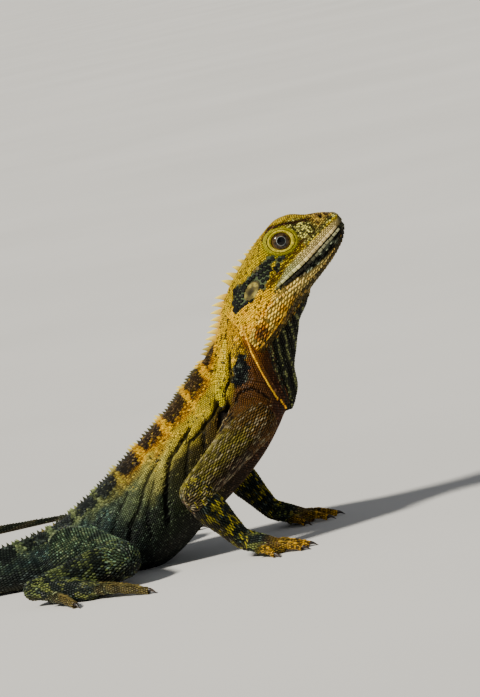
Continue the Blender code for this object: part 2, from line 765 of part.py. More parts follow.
# The crest: on the nape each spine has its own place and height, then they are small and even.
CREST_ON_HEAD = [(11.0, 1.5), (7.6, 2.6), (4.2, 3.2), (0.8, 4.4), (-2.6, 4.7)]
CREST_ON_NECK = [
    (7.4, 5.0), (10.4, 5.4), (13.4, 5.5), (16.4, 5.0), (19.4, 5.3), (22.5, 5.6),
    (25.6, 5.2), (28.7, 4.5), (31.7, 3.9), (34.2, 3.3), (38.6, 2.8),
]
CREST_ON_BACK = (43.0, 1.6, 4.9)
CREST_ON_TAIL = (1.7, 6.6, 125.0)

# Distances along the body at which a pale band of enlarged spiny scales crosses the back.
BAND_PLACES = (40.5, 58.0, 81.0, 98.5, 114.0, 129.5, 143.0, 157.0, 173.0, 189.0, 206.0)
BAND_ANGLES = (0.34, 0.68, 1.02)
BAND_SLANT = 3.5
BAND_SPINE = (1.5, 1.9)

# Spiny scales of the jowl, along and up in the head's frame, and of the side of the neck.
JOWL_SPINES = [
    (-5.0, -10.2, 2.1), (-1.6, -9.0, 1.8), (2.0, -9.6, 1.7), (-4.0, -12.6, 1.9),
    (-0.6, -11.8, 1.6), (3.6, -11.6, 1.5), (6.4, -9.6, 1.4),
]
NECK_SPINES = [(17.5, 1.55, 1.8), (20.0, 1.75, 2.0), (23.0, 1.6, 1.8), (29.0, 1.5, 2.0), (31.5, 1.72, 1.8)]


def crest_plan():
    """Distance along the body and height of each spine of the crest behind the head."""
    turn = random.Random(7)
    plan = list(CREST_ON_NECK)
    start, high, pitch = CREST_ON_BACK
    plan += [(s, high * turn.uniform(0.85, 1.15)) for s in np.arange(start, BODY.vent, pitch)]
    high, pitch, reach = CREST_ON_TAIL
    for along in np.arange(0.0, reach, pitch):
        plan.append((BODY.vent + along, high * (1 - 0.5 * along / reach) * turn.uniform(0.9, 1.1)))
    return plan


def side_spines_plan():
    """The enlarged spiny scales, in one row to each pale band."""
    turn = random.Random(11)
    plan = []
    for s in BAND_PLACES:
        for angle in BAND_ANGLES:
            for sign in (-1, 1):
                shift = turn.uniform(-0.8, 0.8) - BAND_SLANT * angle
                plan.append((s + shift, sign * angle, turn.uniform(*BAND_SPINE)))
    for s, angle, high in NECK_SPINES:
        plan += [(s, angle, high), (s, -angle, high)]
    return plan


def clear_of(point, trees, room):
    """Whether a point is outside every tree's surface by room."""
    place = Vector(np.asarray(point) * MM)
    for tree in trees:
        near, normal, _, distance = tree.find_nearest(place)
        if distance < room * MM or (place - near).dot(normal) < 0:
            return False
    return True


def tree_of(obj):
    return BVHTree.FromPolygons([v.co for v in obj.data.vertices], [p.vertices for p in obj.data.polygons])


def surface_spine(tree, at, long, thick, broad, pieces):
    """A spine on the nearest point of a surface, leaning back along the head."""
    root, out, _, _ = tree.find_nearest(Vector(np.asarray(at) * MM))
    out = np.array(out)
    back = head_direction((-1, 0, 0))
    back = unit(back - out * np.dot(back, out))
    return spine("spine", pieces, np.array(root) / MM, out, back, long, thick, broad)


def head_spines(head, pieces):
    """The front of the crest, and the spiny scales of the jowls."""
    tree = tree_of(head)
    for x, high in CREST_ON_HEAD:
        surface_spine(tree, head_to_model((x, 0, 30.0)), high, 0.75, 1.25, pieces)
    for x, z, high in JOWL_SPINES:
        for side in (-1, 1):
            surface_spine(tree, head_to_model((x, 24.0 * side, z)), high, 0.8, 1.1, pieces)


# Where the nodes meet: along the body, and for the tail the first cut's distance behind the vent.
NODE_CUTS = {"neck_chest": 36.0, "chest_belly": 92.0, "tail_base": 3.0}
TAIL_NODES = ("tail_root", "tail_base", "tail_upper", "tail_middle", "tail_lower", "tail_tip")
TAIL_SHARES = (0.13, 0.28, 0.44, 0.61, 0.79)


def node_marks():
    """The names of the lengths of the body, and the distances along it at which they meet."""
    marks = [NODE_CUTS["neck_chest"], NODE_CUTS["chest_belly"], BODY.vent + NODE_CUTS["tail_base"]]
    tail_long = BODY.length - marks[-1]
    marks += [marks[2] + tail_long * share for share in TAIL_SHARES]
    return ["neck", "chest", "belly", *TAIL_NODES], marks


def body_nodes(whole, cutters, nodes):
    """Cuts the whole body across its centreline into its named lengths.

    What is left after each cut is trimmed with a short cutter, because the tail's end curls back
    behind the planes of the first cuts.
    """
    names, marks = node_marks()
    made = {}
    rest = whole
    head_cut = (head_to_model((-7.0, 0, 0)), head_direction((-1, 0, 0.12)))
    planes = [head_cut] + [(BODY.middle(s), BODY.axes(s)[0]) for s in marks]
    for name, (point, normal) in zip(["head", *names], planes):
        piece = copied(rest, name, nodes)
        cut_away(piece, point, normal, cutters)
        largest_only(piece)
        made[name] = piece
        cut_away(rest, point, -normal, cutters, SHORT_REACH)
        largest_only(rest)
    rest.name = names[-1]
    made[names[-1]] = rest
    return made


def node_of(s):
    """The node at distance s along the body, and how far s is from the nearest cut."""
    names, marks = node_marks()
    index = int(np.searchsorted(marks, s))
    near = min(abs(s - m) for m in marks)
    return names[index], near


def add_spines(made, limbs, pieces):
    """Crest and side spines, each joined to the node that it grows from."""
    trees = [tree_of(obj) for obj in limbs]
    wanted = {name: [] for name in made}
    for s, high in crest_plan():
        name, near = node_of(s)
        if near < 1.7:
            continue
        wanted[name].append((s, 0.0, high, 0.75, 1.35))
    for s, theta, high in side_spines_plan():
        name, near = node_of(s)
        if near < 2.2 or not clear_of(BODY.skin(s, theta), trees, 3.2):
            continue
        wanted[name].append((s, theta, high, 0.8, 1.2))
    for name, spines in wanted.items():
        for s, theta, high, thick, broad in spines:
            body_spine(s, theta, high, thick, broad, "spine", pieces)
        if name == "head":
            head_spines(made[name], pieces)
        if len(pieces.objects):
            boolean(made[name], "UNION", pieces)
            emptied(pieces)
        largest_only(made[name])


def pouch_node(body, cutters, nodes):
    """The throat pouch, cut clear of the head, the neck and the chest."""
    pouch = pouch_solid(nodes)
    pouch.name = "throat_pouch"
    copied(body, "body", cutters, GAP)
    boolean(pouch, "DIFFERENCE", cutters.objects[0])
    emptied(cutters)
    largest_only(pouch)
    return pouch


def centred(nodes):
    """Moves every node so that the origin is under the middle of the whole animal."""
    corners = np.array([v.co for obj in nodes.objects for v in obj.data.vertices])
    low, high = corners.min(axis=0), corners.max(axis=0)
    shift = Vector((-(low[0] + high[0]) / 2, -(low[1] + high[1]) / 2, 0))
    for obj in nodes.objects:
        obj.data.transform(Matrix.Translation(shift))


def new_collection(name):
    collection = bpy.data.collections.new(name)
    bpy.context.scene.collection.children.link(collection)
    return collection


def main():
    for obj in list(bpy.data.objects):
        bpy.data.objects.remove(obj)
    nodes = new_collection("water_dragon")
    pieces = new_collection("pieces")
    cutters = new_collection("cutters")

    whole = trunk_and_tail(nodes)
    head_solid(pieces)
    folds(pieces)
    boolean(whole, "UNION", pieces)
    emptied(pieces)
    body = copied(whole, "body_shape", pieces)
    pieces.objects.unlink(body)

    made = body_nodes(whole, cutters, nodes)
    head_details(made["head"], cutters, pieces)
    limbs = []
    for side in ("right", "left"):
        eye_and_ear(side, nodes)
        arm = limb(
            side,
            ARM_JOINTS[side],
            (UPPER_ARM, FOREARM),
            (f"upper_arm_{side}", f"forearm_{side}", f"hand_{side}"),
            HAND_HEADING_DEG[side],
            HAND,
            body,
            pieces,
            cutters,
            nodes,
        )
        leg = limb(
            side,
            LEG_JOINTS[side],
            (THIGH, SHANK),
            (f"thigh_{side}", f"shank_{side}", f"foot_{side}"),
            FOOT_HEADING_DEG[side],
            FOOT,
            body,
            pieces,
            cutters,
            nodes,
        )
        for obj in (*arm, *leg):
            paint(obj, "limb")
            largest_only(obj)
            limbs.append(obj)
    add_spines(made, limbs, pieces)
    for name, obj in made.items():
        paint(obj, name if name in ("head", "neck") else "tail" if name.startswith("tail") else "body")
    paint(pouch_node(body, cutters, nodes), "pouch")
    bpy.data.objects.remove(body)
    for obj in nodes.objects:
        stood_on_floor(obj)
    centred(nodes)


main()
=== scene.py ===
import math

import bpy
import numpy as np
from mathutils import Matrix, Vector
from mathutils.bvhtree import BVHTree
from mathutils.kdtree import KDTree


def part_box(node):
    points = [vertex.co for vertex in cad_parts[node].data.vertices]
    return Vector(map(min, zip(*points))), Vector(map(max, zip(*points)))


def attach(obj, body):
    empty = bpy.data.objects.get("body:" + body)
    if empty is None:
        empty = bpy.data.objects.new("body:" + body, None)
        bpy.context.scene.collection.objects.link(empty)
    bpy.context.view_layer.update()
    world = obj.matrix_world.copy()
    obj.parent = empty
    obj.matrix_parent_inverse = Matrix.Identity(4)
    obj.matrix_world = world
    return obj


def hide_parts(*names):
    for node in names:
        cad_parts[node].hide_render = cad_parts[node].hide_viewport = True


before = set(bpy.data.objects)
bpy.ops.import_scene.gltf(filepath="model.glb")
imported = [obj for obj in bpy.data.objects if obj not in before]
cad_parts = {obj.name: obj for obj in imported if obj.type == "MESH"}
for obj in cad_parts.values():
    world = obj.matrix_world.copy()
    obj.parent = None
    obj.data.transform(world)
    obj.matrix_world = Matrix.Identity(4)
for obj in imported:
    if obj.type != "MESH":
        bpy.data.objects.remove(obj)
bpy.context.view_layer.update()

MM = 0.001
# How far feet and tail would sink into the floor, which flattens them, and how deep the skin lies under
# its coat of scales.
FLOOR_SINK = 0.7
COAT_DEPTH = 0.32
# The grain of the skin, and the most triangles it may have.
SKIN_VOXEL = 0.66
SKIN_TRIANGLES = 190000
# Distances along the body where the dark net of the head ends and where the scales of the tail begin.
NET_END = 26.0
TRUNK_END = 166.0
# Steps of the trunk's line between two keys, and places round a ring from which rows of scales are set out.
TRUNK_STEPS = 24
RING_STEPS = 192
# Spacing of the rings of the trunk and tail, and points on each.
BODY_PITCH = 1.4
BODY_SIDES = 72
# How far the skin may lie from a scale's planned place, where it follows the lofts and where it runs over
# them in a web, and how high over the floor scales begin.
COAT_REACH = 1.3
LOOSE_REACH = 4.5
FLOOR_GAP = 0.12
draw = np.random.default_rng(14)

# The body's own shape, as in the source of the solids.
TRUNK_KEYS = ("x", "z", "up", "down", "wide", "pear", "ridge")
TRUNK = [
    (11.0, 112.0, 7.6, 9.5, 10.0, 0.0, 0.5),
    (8.0, 102.5, 10.6, 12.0, 12.5, 0.0, 1.0),
    (5.0, 91.0, 11.8, 12.5, 13.0, 0.05, 1.2),
    (1.5, 80.5, 15.0, 14.5, 15.0, 0.1, 1.2),
    (-5.0, 67.0, 19.8, 22.5, 18.5, 0.15, 1.2),
    (-17.0, 52.0, 21.6, 22.5, 21.0, 0.2, 1.2),
    (-36.0, 37.5, 21.0, 22.5, 23.5, 0.25, 1.2),
    (-60.0, 23.5, 18.4, 25.5, 24.5, 0.25, 1.2),
    (-84.0, 15.5, 13.0, 16.8, 18.0, 0.1, 1.2),
    (-104.0, 12.0, 9.4, 12.8, 12.0, 0.0, 1.2),
]
TAIL_KEYS = ("along", "wide", "tall")
TAIL = [
    (0.0, 12.0, 10.4),
    (20.0, 10.4, 9.6),
    (60.0, 8.4, 8.8),
    (120.0, 6.5, 7.6),
    (200.0, 4.8, 6.0),
    (290.0, 3.3, 4.2),
    (370.0, 2.0, 2.6),
    (424.0, 0.9, 1.2),
]
TAIL_TURN_DEG = 168.0
TAIL_TURN_FROM = 35.0
TAIL_TURN_TO = 375.0

# The head in its own frame: at places forward of its pivot, the half width and height of the lines from
# crown to chin.
HEAD_PIVOT = (12.2, 102.3)
HEAD_PITCH = math.radians(32.5)
HEAD_X = (-13.0, -5.0, 4.0, 13.0, 21.0, 28.0, 35.0, 41.0, 46.0, 49.5)
CROWN_Z = (7.5, 14.0, 17.0, 19.4, 20.8, 21.3, 19.4, 14.0, 10.6, 7.4)
BROW_Y = (8.5, 9.8, 10.8, 11.2, 11.4, 11.4, 9.2, 6.4, 4.4, 2.6)
BROW_Z = (5.0, 9.5, 13.0, 16.4, 19.2, 20.0, 17.6, 12.7, 9.4, 6.2)
CHEEK_Y = (13.5, 16.6, 17.0, 15.2, 12.8, 11.6, 10.2, 8.0, 6.0, 3.6)
CHEEK_Z = (0.0, 3.0, 6.0, 8.0, 9.4, 9.4, 8.4, 7.2, 6.2, 5.0)
MOUTH_Y = (15.0, 18.0, 18.2, 16.8, 14.8, 12.8, 10.8, 8.6, 6.6, 4.2)
MOUTH_Z = (-6.0, -4.2, -2.0, -0.4, -0.6, -0.9, -0.6, -0.1, 0.2, 0.6)
JAW_Y = (13.0, 16.2, 16.0, 14.2, 12.2, 10.2, 8.4, 6.6, 4.8, 2.8)
JAW_Z = (-14.0, -12.5, -11.2, -9.2, -8.0, -7.2, -6.2, -4.9, -3.4, -1.2)
CHIN_Z = (-16.0, -15.0, -13.4, -11.6, -10.2, -9.3, -8.2, -6.7, -4.7, -1.8)
SNOUT_TIP = (51.5, 3.0)
SNOUT_ROUNDING = [(0.88, 0.4), (0.62, 0.75), (0.3, 0.95)]
# Points of half a ring of the head between its lines.
HEAD_STEPS = (6, 6, 8, 6, 6)

# The eye's place here and its node's place in the solids, in the head's frame.
EYE_AT = (26.2, 8.1, 13.0)
EYE_NODE_AT = (26.2, 8.0, 13.5)
EYE_FACING = (0.2, -0.97, 0.02)
EYE_RADIUS = 5.2
EYE_TALL = 0.88
EAR_AT = (3.5, 16.1, 7.2)
EAR_FACING = (-0.17, -0.83, 0.53)
EAR_SIZE = (5.2, 3.2)
EAR_TURN = math.radians(50)
# How far in the skin is pressed for eye and ear: distances from the middle, and the floor's height there.
EYE_FLOOR = ((0, 4.4, 5.6, 7.4, 9.5), (0.2, 1.2, 2.6, 4.2, 9.0))
EAR_FLOOR = ((0, 0.98, 1.08, 1.25, 1.6), (-1.7, -1.7, -0.5, 0.5, 5.0))
NOSTRIL_AT = (45.8, 5.2, 8.6)
NOSTRIL_RADIUS = 0.95
MOUTH_BACK_X = 12.0

# The throat's pouch, from the jaw down.
POUCH_KEYS = ("x", "z", "long", "wide")
POUCH = [
    (25.5, 108.0, 11.0, 9.5),
    (21.5, 98.5, 11.0, 10.2),
    (16.2, 90.5, 11.2, 10.0),
    (15.4, 82.5, 9.4, 8.6),
    (15.4, 73.0, 6.4, 6.6),
    (16.4, 64.0, 5.0, 4.6),
    (16.4, 58.0, 2.6, 2.6),
    (15.6, 54.6, 1.2, 1.2),
]
# Folds of skin from the jaw to the chest and before the shoulder, as points forward, up and sideways, and
# the radius of each.
JAW_FOLD = [
    (4.0, 91.5, 13.2), (6.6, 83.0, 12.8), (9.4, 74.0, 12.2), (12.0, 66.0, 11.0), (14.6, 58.0, 8.8),
    (15.2, 56.0, 8.0),
]
SHOULDER_FLAP = [
    (-4.6, 91.0, 9.2), (-6.8, 84.0, 11.4), (-9.2, 76.0, 14.2), (-10.8, 69.5, 16.6), (-10.4, 64.0, 18.4),
]
FOLDS = {"jaw_fold": (JAW_FOLD, 0.62), "shoulder_flap": (SHOULDER_FLAP, 1.7)}

# Root, bend and end of each limb, as points forward, outward and up.
ARM_JOINTS = {
    "right": ((1.5, 15.5, 54.5), (-28.0, 37.0, 32.3), (-12.5, 33.0, 8.6)),
    "left": ((1.5, 15.5, 54.5), (-20.0, 37.5, 31.5), (-4.5, 32.5, 8.8)),
}
LEG_JOINTS = {
    "right": ((-88.0, 9.0, 13.5), (-63.0, 45.0, 11.5), (-101.0, 53.0, 7.6)),
    "left": ((-88.0, 9.0, 13.5), (-58.0, 43.0, 12.5), (-95.0, 54.0, 7.6)),
}
HAND_HEADING_DEG = {"right": 4.0, "left": 8.0}
FOOT_HEADING_DEG = {"right": 17.0, "left": 12.0}
# Lengths of limbs: share of the length, half width and half height.
UPPER_ARM = [(0.0, 9.0, 10.0), (0.35, 8.0, 8.6), (0.75, 6.8, 7.2), (1.0, 6.3, 6.3)]
FOREARM = [(0.0, 6.3, 6.3), (0.3, 6.9, 7.0), (0.75, 5.0, 5.2), (1.0, 4.4, 4.4)]
THIGH = [(0.0, 12.0, 12.0), (0.35, 11.0, 11.4), (0.75, 9.2, 9.4), (1.0, 8.2, 8.2)]
SHANK = [(0.0, 8.2, 8.2), (0.3, 8.0, 8.4), (0.7, 5.8, 6.0), (1.0, 5.0, 5.0)]
# Digits: turn in degrees, start ahead of and beside the ankle, and length.
FINGERS = [
    (-40, 6, -4.6, 9.0), (-17, 10, -3.2, 14.0), (-1, 11, -0.6, 17.0), (14, 10, 2.2, 16.5),
    (40, 6, 4.4, 11.0),
]
TOES = [
    (-30, 15, -4.6, 11.0), (-13, 21, -3.2, 17.0), (0, 23, -0.8, 25.0), (9, 22, 1.8, 34.0),
    (36, 9, 4.4, 20.0),
]
HAND = {"digits": FINGERS, "long": 12.0, "wide": 6.6, "thick": 4.2, "digit_radius": 2.1}
FOOT = {"digits": TOES, "long": 24.0, "wide": 6.4, "thick": 4.6, "digit_radius": 2.4}
CLAW_LONG = 4.2
CLAW_ROOT = 1.1

# Spines of the crest: place and height, on the head forward in its frame, on the neck along the body.
CREST_ON_HEAD = [
    (20.5, 0.5), (18.6, 0.7), (16.6, 0.8), (14.8, 1.0), (13.0, 1.3), (11.0, 1.7), (7.6, 2.7), (4.2, 3.4),
    (0.8, 4.4), (-2.6, 4.8),
]
CREST_ON_NECK = [
    (7.4, 5.0), (10.4, 5.4), (13.4, 5.5), (16.4, 5.0), (19.4, 5.3), (22.5, 5.6),
    (25.6, 5.2), (28.7, 4.5), (31.7, 3.9), (34.2, 3.3), (38.6, 2.8),
]
# Distances along the body where pale bands cross the back.
BAND_PLACES = np.array([40.5, 58.0, 81.0, 98.5, 114.0, 129.5, 143.0, 157.0, 173.0, 189.0, 206.0])
TAIL_BAND_PITCH = 17.0
SPINY_BANDS = 14

# Folds and creases of the trunk's skin, as points (distance along, angle), with depth, width and how
# strongly painted shade darkens them.
CREASES = [
    ([(31, 1.1), (36, 1.22), (40, 1.34), (45, 1.33), (49, 1.31), (54, 1.27)], 1.1, 1.0, 1.0),
    ([(51, 1.3), (56, 1.42), (61, 1.58), (65, 1.8)], 2.3, 2.1, 1.0),
    ([(53, 1.5), (57, 1.68), (60, 1.9)], 2.2, 2.4, 1.0),
    ([(54, 1.26), (60, 1.31), (65, 1.27), (71, 1.27), (76, 1.22)], 1.2, 0.9, 1.0),
    ([(66, 1.3), (71, 1.45), (75, 1.7)], 0.8, 1.3, 0.8),
    ([(74, 1.09), (76, 1.12)], 0.5, 0.8, 0.9),
    (
        [(71, 1.03), (76, 1.06), (81, 1.1), (87, 1.15), (90, 1.26), (94, 1.43), (101, 1.73), (106, 2.0)],
        1.5, 1.1, 1.0,
    ),
    ([(76, 1.22), (79, 1.34), (84, 1.52), (90, 1.8)], 0.7, 1.0, 0.7),
    ([(92, 0.95), (98, 1.05), (105, 1.22), (112, 1.48), (119, 1.64), (124, 1.9)], 0.9, 1.1, 0.8),
    ([(100, 1.3), (106, 1.5), (112, 1.75), (115, 2.0)], 0.6, 0.9, 0.6),
    ([(112, 1.0), (120, 1.25), (127, 1.55), (132, 1.85)], 0.6, 1.0, 0.6),
    ([(126, 1.0), (134, 1.25), (140, 1.55)], 0.5, 1.0, 0.5),
    ([(50, 1.66), (46, 1.64), (43, 1.8), (43, 2.05), (45, 2.3)], 0.7, 0.8, 0.8),
]

# Raised edges beside the folds, with height and width; their colour is brightened as painted light.
WELTS = [
    ([(30, 0.98), (36, 1.1), (42, 1.2), (48, 1.18), (53, 1.16)], 0.5, 1.2),
    ([(31, 1.66), (35, 1.84), (39, 1.92), (42, 1.8), (45, 1.6)], 0.5, 0.6),
    ([(79, 0.94), (84, 0.95), (89, 1.05), (93, 1.2), (99, 1.47), (106, 1.75)], 0.5, 1.0),
    ([(56, 1.2), (62, 1.2), (68, 1.15), (72, 1.16)], 0.4, 1.0),
    ([(98, 0.92), (106, 1.08), (112, 1.3), (118, 1.5)], 0.35, 0.9),
    ([(107, 1.4), (113, 1.62), (117, 1.85)], 0.3, 0.8),
    ([(119, 1.05), (126, 1.32), (131, 1.6)], 0.3, 0.9),
]


def pchip(keys, values, at):
    """Smooth values through the keys, with no overshoot between them."""
    x = np.asarray(keys, float)
    y = np.asarray(values, float)
    step = np.diff(x)
    slope = np.diff(y) / step
    grade = np.zeros(len(x))
    same = slope[:-1] * slope[1:] > 0
    w1 = 2 * step[1:] + step[:-1]
    w2 = step[1:] + 2 * step[:-1]
    before = np.where(same, slope[:-1], 1.0)
    after = np.where(same, slope[1:], 1.0)
    grade[1:-1] = np.where(same, (w1 + w2) / (w1 / before + w2 / after), 0.0)
    grade[0] = slope[0]
    grade[-1] = slope[-1]
    q = np.clip(np.asarray(at, float), x[0], x[-1])
    i = np.clip(np.searchsorted(x, q, side="right") - 1, 0, len(x) - 2)
    t = (q - x[i]) / step[i]
    return (
        (2 * t**3 - 3 * t**2 + 1) * y[i]
        + (t**3 - 2 * t**2 + t) * step[i] * grade[i]
        + (3 * t**2 - 2 * t**3) * y[i + 1]
        + (t**3 - t**2) * step[i] * grade[i + 1]
    )


def span(p0, p1, p2, p3, t):
    """Points of a smooth curve from p1 to p2, with p0 and p3 beyond them."""
    return 0.5 * (
        2 * p1
        + (p2 - p0) * t
        + (2 * p0 - 5 * p1 + 4 * p2 - p3) * t**2
        + (3 * p1 - p0 - 3 * p2 + p3) * t**3
    )


def catmull(points, per_span):
    """A smooth curve through points, with per_span steps between each two."""
    p = np.asarray(points, float)
    p = np.vstack([2 * p[0] - p[1], p, 2 * p[-1] - p[-2]])
    t = np.linspace(0, 1, per_span, endpoint=False)[:, None]
    spans = [span(*p[i - 1 : i + 3], t) for i in range(1, len(p) - 2)]
    return np.vstack([*spans, p[-2]])


def arc_of(line):
    """Distance along a line at each of its points."""
    return np.r_[0, np.cumsum(np.linalg.norm(np.diff(line, axis=0), axis=1))]


def on_line(line, arc, at):
    """Points of a line at given distances along it."""
    return np.stack([np.interp(at, arc, line[:, i]) for i in range(3)], axis=-1)


def unit(v):
    v = np.asarray(v, float)
    return v / np.maximum(np.linalg.norm(v, axis=-1, keepdims=True), 1e-9)


def dot(a, b):
    return (np.asarray(a) * np.asarray(b)).sum(axis=-1)


def columns(keys, rows):
    return {k: np.array([r[i] for r in rows], float) for i, k in enumerate(keys)}


def ease(low, high, value):
    """0 below low, 1 above high and smooth between."""
    t = np.clip((np.asarray(value, float) - low) / (high - low), 0, 1)
    return t * t * (3 - 2 * t)


def line_distance(points, at):
    """Distance of each point of at from a polyline, in two dimensions."""
    points = np.asarray(points, float)
    best = np.full(len(at), 1e9)
    for a, b in zip(points[:-1], points[1:]):
        t = np.clip(dot(at - a, b - a) / dot(b - a, b - a), 0, 1)
        best = np.minimum(best, np.linalg.norm(at - (a + t[:, None] * (b - a)), axis=1))
    return best


def inside(outline, at):
    """Signed distance to a closed outline in two dimensions, positive inside."""
    outline = np.asarray(outline, float)
    odd = np.zeros(len(at), bool)
    for a, b in zip(outline, np.roll(outline, -1, axis=0)):
        crosses = (a[1] > at[:, 1]) != (b[1] > at[:, 1])
        lean = (b[0] - a[0]) * (at[:, 1] - a[1]) / (b[1] - a[1] + 1e-12) + a[0]
        odd ^= crosses & (at[:, 0] < lean)
    distance = line_distance(np.vstack([outline, outline[:1]]), at)
    return np.where(odd, distance, -distance)


WAVE_COUNT = 24
WAVES = unit(draw.normal(size=(WAVE_COUNT, 3)))
PHASES = draw.uniform(0, 6.28, WAVE_COUNT)


def mottle(p, size, start):
    """Soft blotches about 0, some size across, the same for skin and coat."""
    total = np.zeros(len(p))
    for k in range(6):
        own = (start + k) % WAVE_COUNT
        bend = 1.3 * np.sin(p @ WAVES[(own + 7) % WAVE_COUNT] * 4.1 / size + PHASES[k])
        total += np.sin(p @ WAVES[own] * 6.28 / (size * (0.8 + 0.13 * k)) + PHASES[own] + bend)
    return total / 3.0


class Body:
    """The centreline of neck, trunk and tail, and the skin's place at any distance and angle."""

    def __init__(self):
        trunk = columns(TRUNK_KEYS, TRUNK)
        line = catmull(np.c_[trunk["x"], trunk["z"]], TRUNK_STEPS)
        along = arc_of(line)
        at = along[::TRUNK_STEPS]
        self.vent = along[-1]
        tail = columns(TAIL_KEYS, TAIL)
        steps = np.arange(1.0, tail["along"][-1] + 0.5)
        turned = np.clip((steps - TAIL_TURN_FROM) / (TAIL_TURN_TO - TAIL_TURN_FROM), 0, 1)
        heading = math.radians(TAIL_TURN_DEG) * turned * turned * (3 - 2 * turned)
        tail_x = line[-1, 0] - np.cumsum(np.cos(heading))
        tail_y = np.cumsum(np.sin(heading))
        tail_z = pchip(tail["along"], tail["tall"], steps) - FLOOR_SINK
        settle = np.exp(-steps / 12.0)
        tail_z = tail_z * (1 - settle) + line[-1, 1] * settle
        self.s = np.r_[along, self.vent + steps]
        self.centre = np.c_[
            np.r_[line[:, 0], tail_x], np.r_[0 * along, tail_y], np.r_[line[:, 1], tail_z]
        ]
        self.length = self.s[-1]
        self.keys = np.r_[at, self.vent + tail["along"][1:]]
        none = np.zeros(len(tail["along"]) - 1)
        self.shape = {
            "up": np.r_[trunk["up"], tail["tall"][1:]],
            "down": np.r_[trunk["down"], tail["tall"][1:]],
            "wide": np.r_[trunk["wide"], tail["wide"][1:]],
            "pear": np.r_[trunk["pear"], none],
            "ridge": np.r_[trunk["ridge"], none + 0.4],
        }

    def middle(self, s):
        return on_line(self.centre, self.s, s)

    def axes(self, s):
        """Unit vectors at s: backwards along the body, to the animal's left, and up out of the back."""
        back = unit(self.middle(s + 1.5) - self.middle(s - 1.5))
        side = unit(np.cross(back, (0, 0, 1)))
        return back, side, np.cross(side, back)

    def skin(self, s, theta):
        """Points of the skin. theta is 0 on the back and grows towards the animal's left."""
        s, theta = np.broadcast_arrays(np.asarray(s, float), np.asarray(theta, float))
        up, down, wide, pear, ridge = (
            pchip(self.keys, self.shape[k], s) for k in ("up", "down", "wide", "pear", "ridge")
        )
        c, n = np.cos(theta), np.sin(theta)
        wrapped = (theta + math.pi) % (2 * math.pi) - math.pi
        high = np.where(c > 0, up, down) * c + ridge * np.exp(-((wrapped / 0.3) ** 2))
        across = wide * n * (1 - 0.5 * pear * c)
        _, side, out = self.axes(s)
        return self.middle(s) + side * across[..., None] + out * high[..., None]

    def place(self, p, s):
        """Distance along and angle of points near the body, from a first guess of the distance."""
        s = np.asarray(s, float)
        for _ in range(3):
            back = self.axes(s)[0]
            s = np.clip(s + 0.8 * dot(p - self.middle(s), back), 0.5, self.length - 0.5)
        _, side, out = self.axes(s)
        d = p - self.middle(s)
        wide, up, down = (pchip(self.keys, self.shape[k], s) for k in ("wide", "up", "down"))
        high = dot(d, out)
        return s, np.arctan2(dot(d, side) / wide, high / np.where(high > 0, up, down))


BODY = Body()
ALL_BANDS = np.r_[BAND_PLACES, np.arange(BAND_PLACES[-1] + TAIL_BAND_PITCH, BODY.length, TAIL_BAND_PITCH)]
HEAD_C, HEAD_N = math.cos(HEAD_PITCH), math.sin(HEAD_PITCH)


def head_to_model(points):
    """From the head's frame (forward, left, up) to the body's."""
    p = np.asarray(points, float)
    x = HEAD_PIVOT[0] + p[..., 0] * HEAD_C - p[..., 2] * HEAD_N
    z = HEAD_PIVOT[1] + p[..., 0] * HEAD_N + p[..., 2] * HEAD_C
    return np.stack([x, p[..., 1], z], axis=-1)


def model_to_head(points):
    p = np.asarray(points, float)
    x, z = p[..., 0] - HEAD_PIVOT[0], p[..., 2] - HEAD_PIVOT[1]
    return np.stack([x * HEAD_C + z * HEAD_N, p[..., 1], z * HEAD_C - x * HEAD_N], axis=-1)


def head_direction(v):
    return unit(head_to_model(v) - head_to_model((0, 0, 0)))


def sign_of(side):
    """1 on the animal's left and -1 on its right."""
    return 1 if side == "left" else -1


def sided(point, side):
    return (point[0], abs(point[1]) * sign_of(side), point[2])


def facing(direction, side):
    return head_direction((direction[0], -direction[1] * sign_of(side), direction[2]))


def axes_facing(direction):
    """Rows: along, up and out, with out the direction."""
    out = unit(direction)
    along = unit(np.cross((0, 0, 1), out))
    return np.array([along, np.cross(out, along), out])


eye_low, eye_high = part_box("eye_right")
SHIFT = np.array((eye_low + eye_high) / 2) / MM - head_to_model(sided(EYE_NODE_AT, "right"))


def placed(p):
    """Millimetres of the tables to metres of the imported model."""
    return (np.asarray(p, float) + SHIFT) * MM


# Closed lofts of the flesh


def head_ring(x):
    """One ring of the head across x, from the crown round by the right side to the chin and back."""
    none = np.zeros(len(HEAD_X))
    lines = [
        (none, CROWN_Z), (BROW_Y, BROW_Z), (CHEEK_Y, CHEEK_Z), (MOUTH_Y, MOUTH_Z), (JAW_Y, JAW_Z),
        (none, CHIN_Z),
    ]
    half = np.array([(float(pchip(HEAD_X, y, x)), float(pchip(HEAD_X, z, x))) for y, z in lines])
    knots = np.vstack([half[1] * (-1, 1), half, half[-2] * (-1, 1)])
    points = [
        span(*knots[i : i + 4], (np.arange(count) / count)[:, None]) for i, count in enumerate(HEAD_STEPS)
    ]
    half_ring = np.vstack([*points, half[-1:]])
    right = np.c_[np.full(len(half_ring), x), -half_ring[:, 0], half_ring[:, 1]]
    return np.vstack([right, right[-2:0:-1] * (1, -1, 1)])


def head_rings(pitch):
    """Rings from the snout back, in the head's frame, the first ones rounding the snout off."""
    places = np.arange(HEAD_X[-1], HEAD_X[0] - 0.01, -pitch)
    rings = [head_ring(x) for x in places]
    front, middle = rings[0], rings[0].mean(axis=0)
    tip = np.array((SNOUT_TIP[0], 0, SNOUT_TIP[1]))
    snout = [
        (front - middle) * shrink + middle + (tip - middle) * ahead for shrink, ahead in SNOUT_ROUNDING
    ]
    return np.array([*snout[::-1], *rings])


